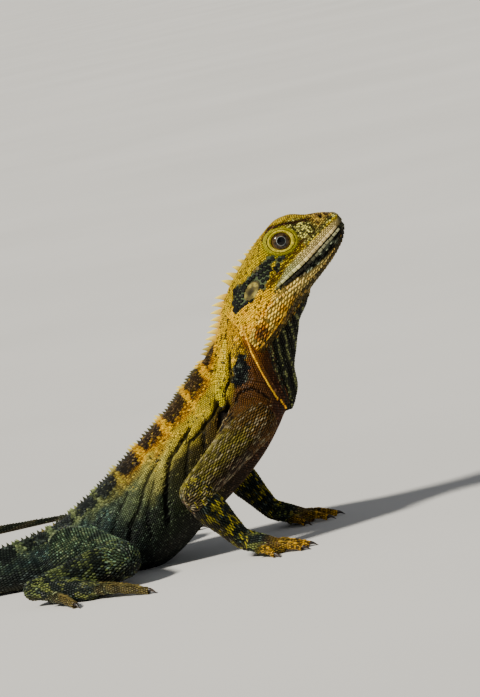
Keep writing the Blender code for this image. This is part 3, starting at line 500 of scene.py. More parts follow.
def pouch_grid(count):
    rows = columns(POUCH_KEYS, POUCH)
    sides = 48
    levels = np.linspace(rows["z"][0], rows["z"][-1], count)
    x, long, wide = (pchip(-rows["z"], rows[k], -levels)[:, None] for k in ("x", "long", "wide"))
    angle = np.arange(sides) * 2 * math.pi / sides
    narrow = 1 - 0.28 * np.cos(angle)
    high = np.repeat(levels[:, None], sides, axis=1)
    return np.stack([x + long * np.cos(angle), wide * np.sin(angle) * narrow, high], axis=-1)


def tube_grid(path, radii, sides):
    path = np.asarray(path, float)
    ahead = unit(np.gradient(path, axis=0))
    rings = []
    aside = unit(np.cross(ahead[0], (0.31, 0.17, 0.94)))
    angle = np.arange(sides)[:, None] * 2 * math.pi / sides
    for p, d, r in zip(path, ahead, radii):
        aside = unit(aside - d * np.dot(aside, d))
        rings.append(p + r * (np.cos(angle) * aside + np.sin(angle) * np.cross(d, aside)))
    return np.array(rings)


def segment_grid(root, end, profile, stations=26):
    """One length of a limb with round ends."""
    sides = 32
    root, end = np.asarray(root, float), np.asarray(end, float)
    along = end - root
    ahead = along / np.linalg.norm(along)
    across = unit(np.cross(ahead, (0, 0, 1)))
    deep = np.cross(across, ahead)
    shares = [p[0] for p in profile]
    angle = np.arange(sides)[:, None] * 2 * math.pi / sides
    first, last = profile[0][1], profile[-1][1]
    caps = np.radians((82, 66, 50, 34, 17))
    plan = [(0, math.cos(a), -first * math.sin(a)) for a in caps]
    plan += [(share, 1, 0) for share in np.linspace(0, 1, stations)]
    plan += [(1, math.cos(a), last * math.sin(a)) for a in caps[::-1]]
    rings = []
    for share, scale, shift in plan:
        wide = pchip(shares, [p[1] for p in profile], share) * scale
        tall = pchip(shares, [p[2] for p in profile], share) * scale
        centre = root + along * share + ahead * shift
        rings.append(centre + across * np.cos(angle) * wide + deep * np.sin(angle) * tall)
    return np.array(rings)


def digit_path(start, heading, long, drop_to):
    t = np.linspace(0, 1, 13)
    flat = start[None, :2] + np.outer(t * long, (math.cos(heading), math.sin(heading)))
    arch = start[2] + (drop_to - start[2]) * t + 1.6 * np.sin(math.pi * t) * (1 - 0.35 * t)
    return np.c_[flat, arch]


def paw_plan(root, heading, side, form):
    """The sole's ends and profile, and for each digit its path, radii and direction."""
    out = sign_of(side)
    ahead = np.array((math.cos(heading), math.sin(heading), 0))
    aside = np.array((-math.sin(heading), math.cos(heading), 0)) * out
    ankle = np.array(root)
    sole_high = form["thick"] - FLOOR_SINK
    knuckles = ankle * (1, 1, 0) + ahead * form["long"] + np.array((0, 0, sole_high))
    profile = [
        (0.0, 4.4, 4.4),
        (0.45, form["wide"] * 0.86, form["thick"] * 1.05),
        (1.0, form["wide"], form["thick"] * 0.9),
    ]
    digits = []
    for angle, along, across, long in form["digits"]:
        turn = heading + out * math.radians(angle)
        start = ankle * (1, 1, 0) + ahead * along + aside * across + np.array((0, 0, sole_high - 0.4))
        radius = form["digit_radius"]
        path = digit_path(start, turn, long, radius * 0.72 - FLOOR_SINK * 0.5)
        t = np.linspace(0, 1, len(path))
        knobs = 1 + 0.07 * np.cos(t * 2 * math.pi * max(2, round(long / 6)))
        radii = radius * pchip((0, 0.25, 0.5, 0.75, 1), (1.0, 0.98, 0.91, 0.83, 0.72), t) * knobs
        digits.append((path, radii, np.array((math.cos(turn), math.sin(turn), 0))))
    return (ankle, knuckles, profile), digits


class Lengths:
    """Every closed length of flesh: its rings, what it is, and what its own coordinates run over."""

    def __init__(self):
        self.all = []
        body_s = np.r_[
            np.arange(0, BODY.vent, BODY_PITCH), np.arange(BODY.vent, BODY.length, BODY_PITCH)
        ]
        theta = np.arange(BODY_SIDES) * 2 * math.pi / BODY_SIDES
        self.add("body", BODY.skin(body_s[:, None], theta[None, :]), s=body_s)
        self.add("head", head_to_model(head_rings(0.9)))
        self.add("pouch", pouch_grid(44))
        for name, (line, radius) in FOLDS.items():
            for sign in (-1, 1):
                path = catmull([(x, y * sign, z) for x, z, y in line], 8)
                swell = np.sin(np.linspace(0.12, 0.88, len(path)) * math.pi)
                self.add(name, tube_grid(path, radius * swell, 16))
        self.claws = []
        for kind, joints, profiles, headings, form in (
            ("arm", ARM_JOINTS, (UPPER_ARM, FOREARM), HAND_HEADING_DEG, HAND),
            ("leg", LEG_JOINTS, (THIGH, SHANK), FOOT_HEADING_DEG, FOOT),
        ):
            for side in ("right", "left"):
                self.limb(kind, side, joints[side], profiles, headings[side], form)

    def add(self, name, rings, s=None, line=None):
        self.all.append({"name": name, "rings": rings, "s": s, "line": line})

    def limb(self, kind, side, joints, profiles, heading_deg, form):
        out = sign_of(side)
        root, bend, end = (np.array((x, y * out, z)) for x, y, z in joints)
        heading = math.radians(heading_deg) * out
        names = ("upper_arm", "forearm", "hand") if kind == "arm" else ("thigh", "shank", "foot")
        self.add(names[0], segment_grid(root, bend, profiles[0]), line=(root, bend))
        self.add(names[1], segment_grid(bend, end, profiles[1]), line=(bend, end))
        (ankle, knuckles, profile), digits = paw_plan(end, heading, side, form)
        self.add(names[2], segment_grid(ankle, knuckles, profile, 16), line=(ankle, knuckles))
        digit = "finger" if kind == "arm" else "toe"
        for path, radii, ahead in digits:
            self.add(digit, tube_grid(path, radii, 14), line=(path[0], path[-1]))
            self.claws.append((path[-1], ahead))


FLESH = Lengths()


def linked(name, data):
    """A new object in the scene."""
    obj = bpy.data.objects.new(name, data)
    bpy.context.scene.collection.objects.link(obj)
    return obj


def closed_mesh(name, grids):
    """One mesh object of many closed lofts, each drawn to a point at both ends."""
    points, faces = [], []
    for rings in grids:
        base = sum(len(p) for p in points)
        count = rings.shape[1]
        body = rings.reshape(-1, 3)
        points.append(np.vstack([body, rings[0].mean(axis=0), rings[-1].mean(axis=0)]))
        first, last = base + len(body), base + len(body) + 1
        for i in range(count):
            j = (i + 1) % count
            faces.append((first, base + j, base + i))
            top = base + (len(rings) - 1) * count
            faces.append((last, top + i, top + j))
            for r in range(len(rings) - 1):
                a = base + r * count
                faces.append((a + i, a + j, a + count + j, a + count + i))
    mesh = bpy.data.meshes.new(name)
    mesh.from_pydata(placed(np.vstack(points)).tolist(), [], faces)
    return linked(name, mesh)


def only(obj):
    """Leaves obj alone selected and active."""
    bpy.ops.object.select_all(action="DESELECT")
    obj.select_set(True)
    bpy.context.view_layer.objects.active = obj


def finished_with(obj, kind, **settings):
    """Adds one modifier to obj and applies it."""
    only(obj)
    modifier = obj.modifiers.new(kind.lower(), kind)
    for key, value in settings.items():
        setattr(modifier, key, value)
    bpy.ops.object.modifier_apply(modifier=modifier.name)
    return obj


def vertices_of(mesh):
    co = np.empty(len(mesh.vertices) * 3, np.float32)
    mesh.vertices.foreach_get("co", co)
    return co.reshape(-1, 3).astype(float) / MM - SHIFT


def normals_of(mesh):
    n = np.empty(len(mesh.vertices) * 3, np.float32)
    mesh.vertices.foreach_get("normal", n)
    return n.reshape(-1, 3).astype(float)


def moved_to(mesh, p):
    mesh.vertices.foreach_set("co", placed(p).astype(np.float32).ravel())
    mesh.update()


# Markings: one set of rules for skin and coat

# The trunk's and tail's colours along the body, in four strips from the back down to the belly.
TONES = {
    "pale": [
        (0, (218, 178, 2)), (20, (220, 176, 0)), (45, (224, 180, 0)), (70, (224, 178, 4)),
        (95, (198, 158, 12)), (112, (160, 144, 44)), (128, (128, 134, 80)), (150, (104, 116, 80)),
        (180, (80, 94, 64)), (260, (88, 92, 60)), (590, (100, 92, 62)),
    ],
    "flank": [
        (0, (222, 172, 0)), (20, (224, 170, 0)), (36, (206, 176, 6)), (50, (196, 172, 16)),
        (70, (206, 182, 40)), (84, (204, 188, 72)), (96, (188, 178, 84)), (108, (122, 134, 86)),
        (125, (46, 66, 58)), (165, (36, 54, 50)), (230, (46, 54, 44)), (590, (66, 60, 42)),
    ],
    "low": [
        (0, (214, 150, 6)), (20, (150, 88, 8)), (36, (104, 62, 14)), (50, (104, 66, 16)),
        (66, (88, 70, 18)), (84, (66, 62, 22)), (100, (40, 50, 28)), (130, (22, 34, 32)),
        (165, (26, 36, 34)), (230, (48, 50, 38)), (590, (70, 62, 44)),
    ],
    "belly": [
        (0, (96, 62, 18)), (25, (72, 40, 12)), (50, (70, 38, 14)), (75, (52, 36, 20)),
        (100, (34, 34, 26)), (140, (28, 34, 30)), (170, (52, 54, 42)), (230, (80, 76, 56)),
        (590, (104, 92, 66)),
    ],
}

# Dark lines over the lip in the head's frame, with half their width.
LIP_LINES = [
    ([(9.0, 3.5), (17.0, 4.5), (23.0, 4.8), (33.0, 4.9)], 0.3),
    ([(22.5, 6.6), (27.5, 6.0), (34.5, 6.6)], 0.3),
    ([(9.5, 2.4), (16.0, 3.1), (21.0, 3.3)], 0.26),
]


def colour(*rgb):
    """A screen colour, 0 to 255, as linear light."""
    c = np.array(rgb, float) / 255
    return np.where(c <= 0.04045, c / 12.92, ((c + 0.055) / 1.055) ** 2.4)


def all_over(n, *rgb):
    """One screen colour for each of n points."""
    return np.repeat(colour(*rgb)[None], n, axis=0)


def mix(a, b, share):
    share = np.asarray(share, float)[..., None]
    return a * (1 - share) + b * share


def tone_at(name, s):
    stops = TONES[name]
    values = np.array([colour(*c) for _, c in stops])
    return np.stack([np.interp(s, [p for p, _ in stops], values[:, i]) for i in range(3)], axis=-1)


# The dark net from the eye back over the ear to the neck, and the wedge before it, in the head's frame.
EYE_STRIPE = [
    (21.2, 11.4), (16.4, 12.4), (13.6, 12.2), (11.4, 12.1), (8.9, 11.8), (6.7, 12.0), (3.9, 11.5),
    (1.0, 12.1), (-1.9, 12.7), (-4.6, 10.2), (-7.5, 7.9), (-9.2, 5.2), (-8.1, 4.2), (-5.9, 4.0),
    (-3.6, 4.0), (-1.0, 3.7), (2.2, 3.4), (6.5, 5.5), (7.8, 2.5), (10.0, 4.3), (12.9, 5.5), (15.3, 6.6),
    (17.4, 9.1), (19.4, 9.4),
]
EYE_WEDGE = [
    (24.4, 8.0), (22.0, 9.3), (19.0, 8.1), (17.4, 7.0), (15.4, 4.6), (16.4, 4.0), (19.1, 5.9), (21.8, 6.2),
]
# Dark lines along the brow's edge and under the muzzle's pattern, and how high the pale lip reaches.
BROW_LINE = [(21.5, 18.6), (26.8, 20.4), (32.5, 17.8), (36.4, 14.8), (40.1, 12.4), (44.0, 9.6)]
MUZZLE_LINE = [(31.5, 7.2), (36.0, 6.2), (41.0, 5.6), (46.5, 5.6)]
LIP_HIGH = ((10, 14, 20, 28, 36, 44, 47, 50), (0.3, 1.8, 3.9, 4.8, 4.4, 3.9, 3.4, 2.6))
BLACK_NET = colour(17, 18, 14)
NET_SEAM = colour(76, 88, 60)


def stripe_mask(h, p):
    """How far a point near the head lies in the dark net."""
    at = h[:, [0, 2]]
    edge = np.maximum(inside(EYE_STRIPE, at), inside(EYE_WEDGE, at))
    flat = np.abs(h[:, 1]) > 7.0
    return ease(-0.35, 0.3, edge + 0.35 * mottle(p, 2.6, 3)) * flat


def over_mouth(h):
    """Height over the line of the mouth."""
    return h[:, 2] - pchip(HEAD_X, MOUTH_Z, h[:, 0])


def head_marking(p):
    h = model_to_head(p)
    x, y, z = h[:, 0], np.abs(h[:, 1]), h[:, 2]
    lip = over_mouth(h)
    blotch = mottle(p, 7.0, 1)
    fine = mottle(p, 2.4, 5)
    tiny = mottle(p, 1.3, 9)
    col = all_over(len(p), 190, 162, 0)
    col = mix(col, colour(220, 172, 0), ease(0.1, 1.0, blotch + 0.09 * (8 - x)))
    col = mix(col, colour(92, 62, 2), ease(0.75, 1.0, tiny) * 0.7)
    crown = ease(-1.6, 0.6, z - pchip(HEAD_X, BROW_Z, x))
    col = mix(col, colour(176, 148, 22), crown)
    col = mix(col, colour(96, 68, 14), crown * ease(0.1, 0.9, fine + 0.4 * tiny) * 0.7)
    eye = np.hypot(x - EYE_AT[0], z - EYE_AT[2])
    col = mix(col, colour(146, 136, 8), (1 - ease(6.0, 9.5, eye)) * (1 - crown) * (y > 5))
    before_eye = ease(31.5, 34.5, x) * (1 - crown) * (z > 4.6)
    col = mix(col, colour(52, 50, 16), before_eye)
    chevron = np.sin(x * 2.3 - z * 0.9 + 2.4 * fine) + 0.9 * tiny
    col = mix(col, colour(222, 214, 104), before_eye * ease(-0.3, 0.4, chevron))
    for line, width, share in ((BROW_LINE, 0.3, 1.0), (MUZZLE_LINE, 0.3, 0.8)):
        near = line_distance(line, h[:, [0, 2]]) + 0.2 * fine
        col = mix(col, colour(48, 28, 4), (1 - ease(width, width + 0.7, near)) * (y > 3.5) * share)
    front = ease(40, 43.5, x) * ease(5.4, 7.0, z)
    muzzle = mix(colour(176, 144, 52), colour(62, 34, 12), ease(-0.1, 0.5, fine + 0.4 * tiny))
    col = mix(col, muzzle, front * 0.9)
    cheek = (1 - ease(8, 14, x)) * (1 - ease(4.5, 8.0, z))
    col = mix(col, colour(234, 184, 0), cheek)
    col = mix(col, colour(230, 166, 0), cheek * ease(0.0, 0.8, mottle(p, 5.0, 9)) * 0.8)
    for line, width in LIP_LINES:
        near = line_distance(line, h[:, [0, 2]]) + 0.08 * fine
        col = mix(col, colour(60, 34, 2), (1 - ease(width, 2.2 * width, near)) * 0.9)
    high = np.interp(x, *LIP_HIGH)
    on_lip = ease(-0.2, 0.2, lip) * (1 - ease(-0.6, 0.3, lip - high)) * (x > 10)
    pale = mix(colour(206, 204, 128), colour(238, 212, 132), ease(22, 32, x))
    pale = mix(pale, colour(124, 92, 46), ease(0.3, 0.9, fine + 0.5 * tiny) * 0.45)
    col = mix(col, pale, on_lip)
    below = ease(0.0, 0.5, -lip)
    jaw = mix(colour(222, 160, 10), colour(246, 208, 84), ease(-0.3, 0.6, blotch))
    # Forward of the cheek the jaw's pale scales are brightened further as painted light.
    jaw = mix(jaw, colour(252, 226, 130), ease(10, 22, x) * 0.8)
    col = mix(col, jaw, below)
    wedge = 1 - ease(2.4, 4.2, np.hypot(x + 5.6, z + 9.4) + 0.7 * fine)
    rust = mix(colour(168, 92, 6), colour(60, 30, 8), ease(-0.1, 0.6, tiny + 0.4 * fine))
    col = mix(col, rust, wedge * 0.9)
    # Just below the lip: dark scales, greyer in places, partly their own colour and partly painted shade
    # under the upper lip.
    reach = np.interp(x, (12, 20, 26, 36), (1.5, 2.0, 3.6, 4.6))
    edge = below * (1 - ease(-0.2, 0.5, -lip - reach)) * (x > 13)
    greyer = ease(0.25, 0.6, mottle(p, 3.4, 11) + 0.02 * (x - 34))
    col = mix(col, mix(colour(22, 24, 18), colour(136, 144, 116), greyer), edge)
    # Under the jaw: dark with pale spots, partly the scales' own colour and partly painted shade under the
    # jaw.
    under = ease(-0.9, 1.4, pchip(HEAD_X, JAW_Z, x) + 0.8 - z)
    chin = mix(colour(24, 18, 9), colour(196, 152, 56), ease(0.5, 0.9, tiny + 0.3 * fine) * 0.55)
    col = mix(col, chin, under * 0.95)
    col = mix(col, colour(128, 124, 94), ease(47.5, 50.5, x) * ease(-0.4, 0.3, fine) * 0.8)
    # The nostril's hole is painted near black as shade inside it.
    near = np.hypot(x - NOSTRIL_AT[0], z - NOSTRIL_AT[2])
    col = mix(col, colour(8, 6, 4), 1 - ease(NOSTRIL_RADIUS - 0.3, NOSTRIL_RADIUS, near))
    col = mix(col, BLACK_NET, stripe_mask(h, p))
    # The line of the mouth is painted near black as shade in its groove.
    mouth_line_shade = (1 - ease(0.15, 0.5, np.abs(lip))) * (x > MOUTH_BACK_X)
    return mix(col, colour(14, 10, 6), mouth_line_shade)


def fold_lines(lines, s, theta):
    """For each fold its depth and its nearness at each place."""
    at = np.c_[s, np.abs(theta) * 20]
    found = []
    for line, *rest in lines:
        far = line_distance(catmull(line, 6) * (1, 20), at)
        found.append((rest, np.exp(-((far / rest[1]) ** 2))))
    return found


def crease_depth(s, theta):
    """How deep the folds of the trunk lie at a place, how much painted shade darkens them, and how much
    painted light brightens their raised edges.
    """
    deep, dark, light = np.zeros(len(s)), np.zeros(len(s)), np.zeros(len(s))
    for (depth, _, shade), near in fold_lines(CREASES, s, theta):
        deep += depth * near
        dark = np.maximum(dark, shade * np.minimum(1.5 * near**1.6, 1))
    for (rise, _), near in fold_lines(WELTS, s, theta):
        deep -= rise * near
        light = np.maximum(light, near)
    return deep, dark, light * (1 - dark)


def band_distance(s, angle):
    """Distance along the body from the nearest pale band, which slants with the angle."""
    slant = np.where(s < 60, 3.0, -4.5) * angle
    return np.abs((s - slant)[:, None] - ALL_BANDS[None]).min(axis=1)


# Where down the flank the low tones begin and the dark saddles end, as distances along and angles.
LOW_EDGE = ((48, 56, 68, 84, 92, 104), (1.36, 1.2, 1.1, 1.05, 1.2, 1.36))
SADDLE_EDGE = ((24, 32, 46, 60, 90, 140, 170, 200, 590), (0.1, 0.45, 0.7, 0.66, 0.6, 0.72, 0.95, 1.2, 1.9))


def body_marking(p, s, theta):
    angle = np.abs(theta) + 0.10 * mottle(p, 9.0, 2)
    fine = mottle(p, 2.2, 13)
    pale, flank, low, belly = (tone_at(k, s) for k in ("pale", "flank", "low", "belly"))
    col = mix(pale, flank, ease(0.6, 1.0, angle))
    col = mix(col, low, ease(0.0, 0.3, angle - np.interp(s, *LOW_EDGE)))
    col = mix(col, belly, ease(2.0, 2.6, angle))
    cloud = ease(0.2, 0.9, mottle(p, 4.5, 16))
    col = col * (1 - 0.35 * cloud * ease(44, 60, s) * ease(0.75, 0.95, angle))[:, None]
    far = band_distance(s, np.abs(theta)) + 1.1 * mottle(p, 3.0, 4)
    reach = np.interp(s, *SADDLE_EDGE)
    half = (1.7 + 3.6 * np.clip(angle, 0, 1.2) ** 2) * np.interp(s, (92, 120, 180), (1.0, 0.4, 0.7))
    edge = angle - reach + 0.07 * fine
    saddle = ease(-0.8, 0.8, far - half) * (1 - ease(-0.12, 0.08, edge)) * ease(24, 30, s)
    rim = ease(-2.4, -0.4, far - half) * (1 - ease(-0.02, 0.22, edge)) * ease(24, 32, s)
    rust = mix(colour(176, 106, 0), colour(44, 58, 34), ease(90, 122, s))
    col = mix(col, rust, rim * 0.7)
    night = mix(colour(22, 18, 9), colour(11, 17, 20), ease(50, 120, s))
    col = mix(col, night, saddle * np.interp(s, (28, 150, 220, 590), (0.96, 0.95, 0.75, 0.6)))
    net = ease(0.1, 0.6, mottle(p, 3.0, 8)) * ease(92, 124, s) * ease(0.5, 0.9, angle) * (s < 230)
    col = mix(col, colour(82, 98, 76), net * 0.45 * (1 - ease(1.5, 2.0, angle)))
    shadow = ease(0.1, 0.7, mottle(p, 3.4, 18)) * ease(92, 124, s) * ease(0.5, 0.9, angle) * (s < 230)
    col = mix(col, colour(12, 20, 22), shadow * 0.6)
    dark, light = crease_depth(s, theta)[1:]
    # Painted light on the raised edges beside the folds.
    col = mix(col, np.minimum(col * 1.5 + 0.006, 0.9), light * 0.6)
    shoulder = shoulder_mask(s, theta, p)
    # Painted glints on the black scales of the patch.
    glint = ease(0.2, 0.8, mottle(p, 1.5, 25)) * 0.7
    patch = mix(all_over(len(p), 8, 10, 10), colour(92, 104, 88), glint)
    col = mix(col, patch, shoulder)
    # Painted shade in the folds of the skin.
    col = col * (1 - 0.95 * dark)[:, None]
    near = s < NET_END
    net_mask = np.zeros(len(p))
    if near.any():
        net_mask[near] = stripe_mask(model_to_head(p[near]), p[near])
    spots = ease(0.5, 0.72, mottle(p, 2.7, 23)) * (1 - ease(40, 58, s)) * (angle < 1.5)
    col = mix(col, colour(44, 30, 10), spots * (1 - shoulder) * 0.85)
    return mix(col, BLACK_NET, net_mask)


# Outline of the dark patch before the shoulder, as distances along and angles.
SHOULDER_PATCH = [
    (28.5, 1.4), (30.0, 1.6), (35.0, 1.82), (41.0, 1.77), (44.0, 1.54), (41.0, 1.38), (35.0, 1.33),
]


def shoulder_mask(s, theta, p):
    """The blue-black patch of spiny scales before the shoulder."""
    outline = np.array(SHOULDER_PATCH) * (1, 16)
    edge = inside(outline, np.c_[s, np.abs(theta) * 16])
    return ease(-0.6, 0.5, edge + 0.8 * mottle(p, 3.2, 6))


def limb_marking(name, p, share, up):
    """share runs down the length, up is how far the skin faces the sky."""
    blotch = mottle(p, 5.5, 12)
    fine = mottle(p, 2.2, 15)
    if name == "upper_arm":
        # Lighter where the skin faces the sky, with paler flecks on top, and darker beneath: partly the
        # arm's own colour and partly painted light and shade.
        col = mix(colour(58, 44, 28), colour(118, 108, 34), ease(-0.35, 0.5, up + 0.15 * blotch))
        col = mix(col, colour(168, 156, 72), ease(0.3, 0.8, fine) * ease(-0.1, 0.5, up) * 0.6)
        col = mix(col, colour(102, 70, 28), (1 - ease(0.08, 0.42, share + 0.08 * blotch)) * 0.85)
        # Painted glints on the glossy scales.
        col = mix(col, colour(176, 162, 124), ease(0.25, 0.6, mottle(p, 1.15, 27)) * 0.6)
        return mix(col, colour(30, 22, 12), ease(0.1, 0.9, -fine) * 0.55)
    if name == "thigh":
        # Lighter where the skin faces the sky and darker beneath: partly the thigh's own colour and partly
        # painted shade.
        col = mix(colour(26, 34, 30), colour(58, 76, 54), ease(-0.35, 0.35, up + 0.2 * blotch))
        col = mix(col, colour(122, 134, 92), ease(0.3, 0.8, fine) * 0.6)
        return mix(col, colour(12, 20, 22), ease(0.0, 0.6, blotch) * 0.75)
    dark = all_over(len(p), 22, 30, 24)
    if name in ("forearm", "shank"):
        bars = 0.8 * np.sin(share * 20 + 1.6 * blotch) + 0.5 * fine + 1.1 * mottle(p, 1.1, 19)
        bright = colour(164, 152, 34) if name == "forearm" else colour(96, 108, 58)
        col = mix(dark, bright, ease(0.2, 0.9, bars) * 0.95)
        # Darker underneath: partly the limb's own colour and partly painted shade.
        return mix(col, colour(46, 38, 24), ease(0.1, 0.6, -up) * 0.7)
    if name in ("hand", "foot"):
        col = mix(dark * 1.4, colour(112, 120, 58), ease(0.0, 0.8, blotch + 0.6 * fine))
        return mix(col, colour(150, 104, 20), ease(0.6, 1.2, share) * (0.5 if name == "hand" else 0.0))
    if name == "toe":
        col = mix(colour(58, 62, 38), colour(112, 98, 50), ease(0.1, 0.9, share + 0.2 * blotch))
    else:
        base = mix(colour(70, 74, 28), colour(150, 122, 26), ease(0.0, 0.45, share))
        col = mix(base, colour(216, 162, 18), ease(0.25, 0.85, share))
        flecks = ease(0.0, 0.6, fine + 0.5 * mottle(p, 1.1, 19))
        col = mix(col, colour(44, 46, 22), flecks * (0.85 - 0.4 * share))
    return mix(col, colour(40, 28, 10), ease(0.2, 0.9, np.sin(share * 26 + blotch)) * 0.5)


def pouch_marking(p):
    # Near black: partly the throat's own dark skin and partly painted shade under the jaw.
    col = mix(colour(26, 28, 16), colour(17, 15, 10), ease(-0.4, 0.6, mottle(p, 8.0, 17)))
    pleats = ease(0.4, 0.9, np.sin(p[:, 0] * 1.9 + 0.5 * mottle(p, 12, 3)))
    return mix(col, colour(138, 142, 84), pleats * ease(-0.5, 0.3, mottle(p, 2.4, 7)) * 0.75)


def fold_marking(name, p):
    if name == "jaw_fold":
        return mix(colour(120, 74, 8), colour(60, 34, 10), ease(90, 62, p[:, 2]))
    return mix(colour(202, 172, 6), colour(176, 160, 18), ease(84, 68, p[:, 2]))


def mesh_edges(mesh):
    pairs = np.empty(len(mesh.edges) * 2, np.int32)
    mesh.edges.foreach_get("vertices", pairs)
    return pairs.reshape(-1, 2)


def relaxed(p, pairs, share, rounds):
    """Evens the points out with their neighbours, each by its own share."""
    first, second = np.r_[pairs[:, 0], pairs[:, 1]], np.r_[pairs[:, 1], pairs[:, 0]]
    count = np.maximum(np.bincount(first, minlength=len(p)), 1)[:, None]
    for _ in range(rounds):
        around = np.stack([np.bincount(first, p[second, i], len(p)) for i in range(3)], axis=-1) / count
        p = p + (around - p) * share[:, None]
    return p


def soft_joints():
    """Places where lengths of flesh meet and the skin runs over in a soft web: middle, reach and share."""
    places = []
    for out in (-1, 1):
        for joints, reach in ((ARM_JOINTS, 15.0), (LEG_JOINTS, 15.0)):
            side = "left" if out == 1 else "right"
            root, bend, end = (np.array((x, y * out, z)) for x, y, z in joints[side])
            places.append((root + (bend - root) * 0.12, reach, 1.0))
            places.append((bend, 8.0, 0.35))
            places.append((end + (0, 0, 1.0), 6.5, 0.5))
        places.append((np.array((2.0, 15.0 * out, 90.0)), 7.0, 0.8))
        places.append((np.array((-7.5, 13.0 * out, 79.0)), 10.0, 0.35))
    return places


def marking(piece, p, out, s):
    """Colours of points p of one length of flesh, whose skin faces out."""
    name = piece["name"]
    if name == "body":
        s, theta = BODY.place(p, s)
        return body_marking(p, s, theta)
    if name == "head":
        return head_marking(p)
    if name == "pouch":
        return pouch_marking(p)
    if name in FOLDS:
        return fold_marking(name, p)
    root, end = piece["line"]
    share = dot(p - root, end - root) / dot(end - root, end - root)
    return limb_marking(name, p, share, out[:, 2])


# The skin


def nearest_length(p):
    """For each point the length of flesh that it belongs to, and its distance along the body."""
    total = sum(len(f["rings"]) * f["rings"].shape[1] for f in FLESH.all)
    tree = KDTree(total)
    owner, guess = np.zeros(total, int), np.zeros(total)
    n = 0
    for i, f in enumerate(FLESH.all):
        rings = f["rings"]
        s = f["s"] if f["s"] is not None else np.zeros(len(rings))
        for ring, at in zip(rings, s):
            for q in ring:
                tree.insert(q, n)
                owner[n], guess[n] = i, at
                n += 1
    tree.balance()
    found = np.fromiter((tree.find(q)[1] for q in p), int, len(p))
    return owner[found], guess[found]


def eye_frame(side):
    return head_to_model(sided(EYE_AT, side)), axes_facing(facing(EYE_FACING, side))


def round_eye(p, side, tall):
    """Distance of points from the eye's middle in rings flattened to tall, and their height over it."""
    centre, axes = eye_frame(side)
    local = (p - centre) @ axes.T
    return np.hypot(local[:, 0], local[:, 1] / tall), local[:, 2]


def ear_frame(side):
    """The ear's middle and axes, its long axis turned up by EAR_TURN."""
    along, up, out = axes_facing(facing(EAR_FACING, side))
    turn = -EAR_TURN * sign_of(side)
    along = along * math.cos(turn) + up * math.sin(turn)
    return head_to_model(sided(EAR_AT, side)), np.array([along, np.cross(out, along), out])


def pressed(p, middle, size, reach, floor, low, high):
    """Presses the points near a frame's middle down to a floor. Heights from low to high are moved."""
    centre, axes = middle
    local = (p - centre) @ axes.T
    far = np.hypot(local[:, 0] / size[0], local[:, 1] / size[1])
    close = (far < reach) & (local[:, 2] > low) & (local[:, 2] < high)
    local[:, 2] = np.where(close, np.minimum(local[:, 2], np.interp(far, *floor)), local[:, 2])
    return np.where(close[:, None], local @ axes + centre, p)


def carved(p, owner, s):
    """Moves the points of the smooth skin in for eyes, ears, nostrils, mouth and folds."""
    for side in ("right", "left"):
        p = pressed(p, eye_frame(side), (1, EYE_TALL), 9.0, EYE_FLOOR, 0, np.inf)
        p = pressed(p, ear_frame(side), EAR_SIZE, 1.6, EAR_FLOOR, -5, 5)
        hole = head_to_model(sided(NOSTRIL_AT, side))
        far = np.linalg.norm(p - hole, axis=1)
        inward = unit(head_to_model((NOSTRIL_AT[0] - 2, 0, 6.0)) - hole)
        pit = 1.5 * np.exp(-((far / 0.8) ** 2)) - 0.35 * np.exp(-(((far - 1.5) / 0.5) ** 2))
        p = p + pit[:, None] * inward
    h = model_to_head(p)
    lip = over_mouth(h)
    on_head = (owner == HEAD_INDEX) & (h[:, 0] > MOUTH_BACK_X - 3)
    groove = 0.7 * np.exp(-((lip / 0.45) ** 2))
    groove = groove * ease(MOUTH_BACK_X - 3, MOUTH_BACK_X + 1, h[:, 0]) * on_head
    middle = head_to_model(np.c_[np.minimum(h[:, 0], 44), 0 * lip, h[:, 2]])
    p = p + unit(middle - p) * groove[:, None]
    trunk = (owner == BODY_INDEX) & (s < 150) & (s > 20)
    at, theta = BODY.place(p[trunk], s[trunk])
    deep = crease_depth(at, theta)[0]
    p[trunk] += unit(BODY.middle(at) - p[trunk]) * deep[:, None]
    pouch = owner == POUCH_INDEX
    pleat = 0.35 * np.sin(p[:, 0] * 1.9 + 1.2 * np.sin(p[:, 2] * 0.09)) * pouch
    p[:, 1] += pleat * np.sign(p[:, 1])
    return p


BODY_INDEX = next(i for i, f in enumerate(FLESH.all) if f["name"] == "body")
HEAD_INDEX = next(i for i, f in enumerate(FLESH.all) if f["name"] == "head")
POUCH_INDEX = next(i for i, f in enumerate(FLESH.all) if f["name"] == "pouch")


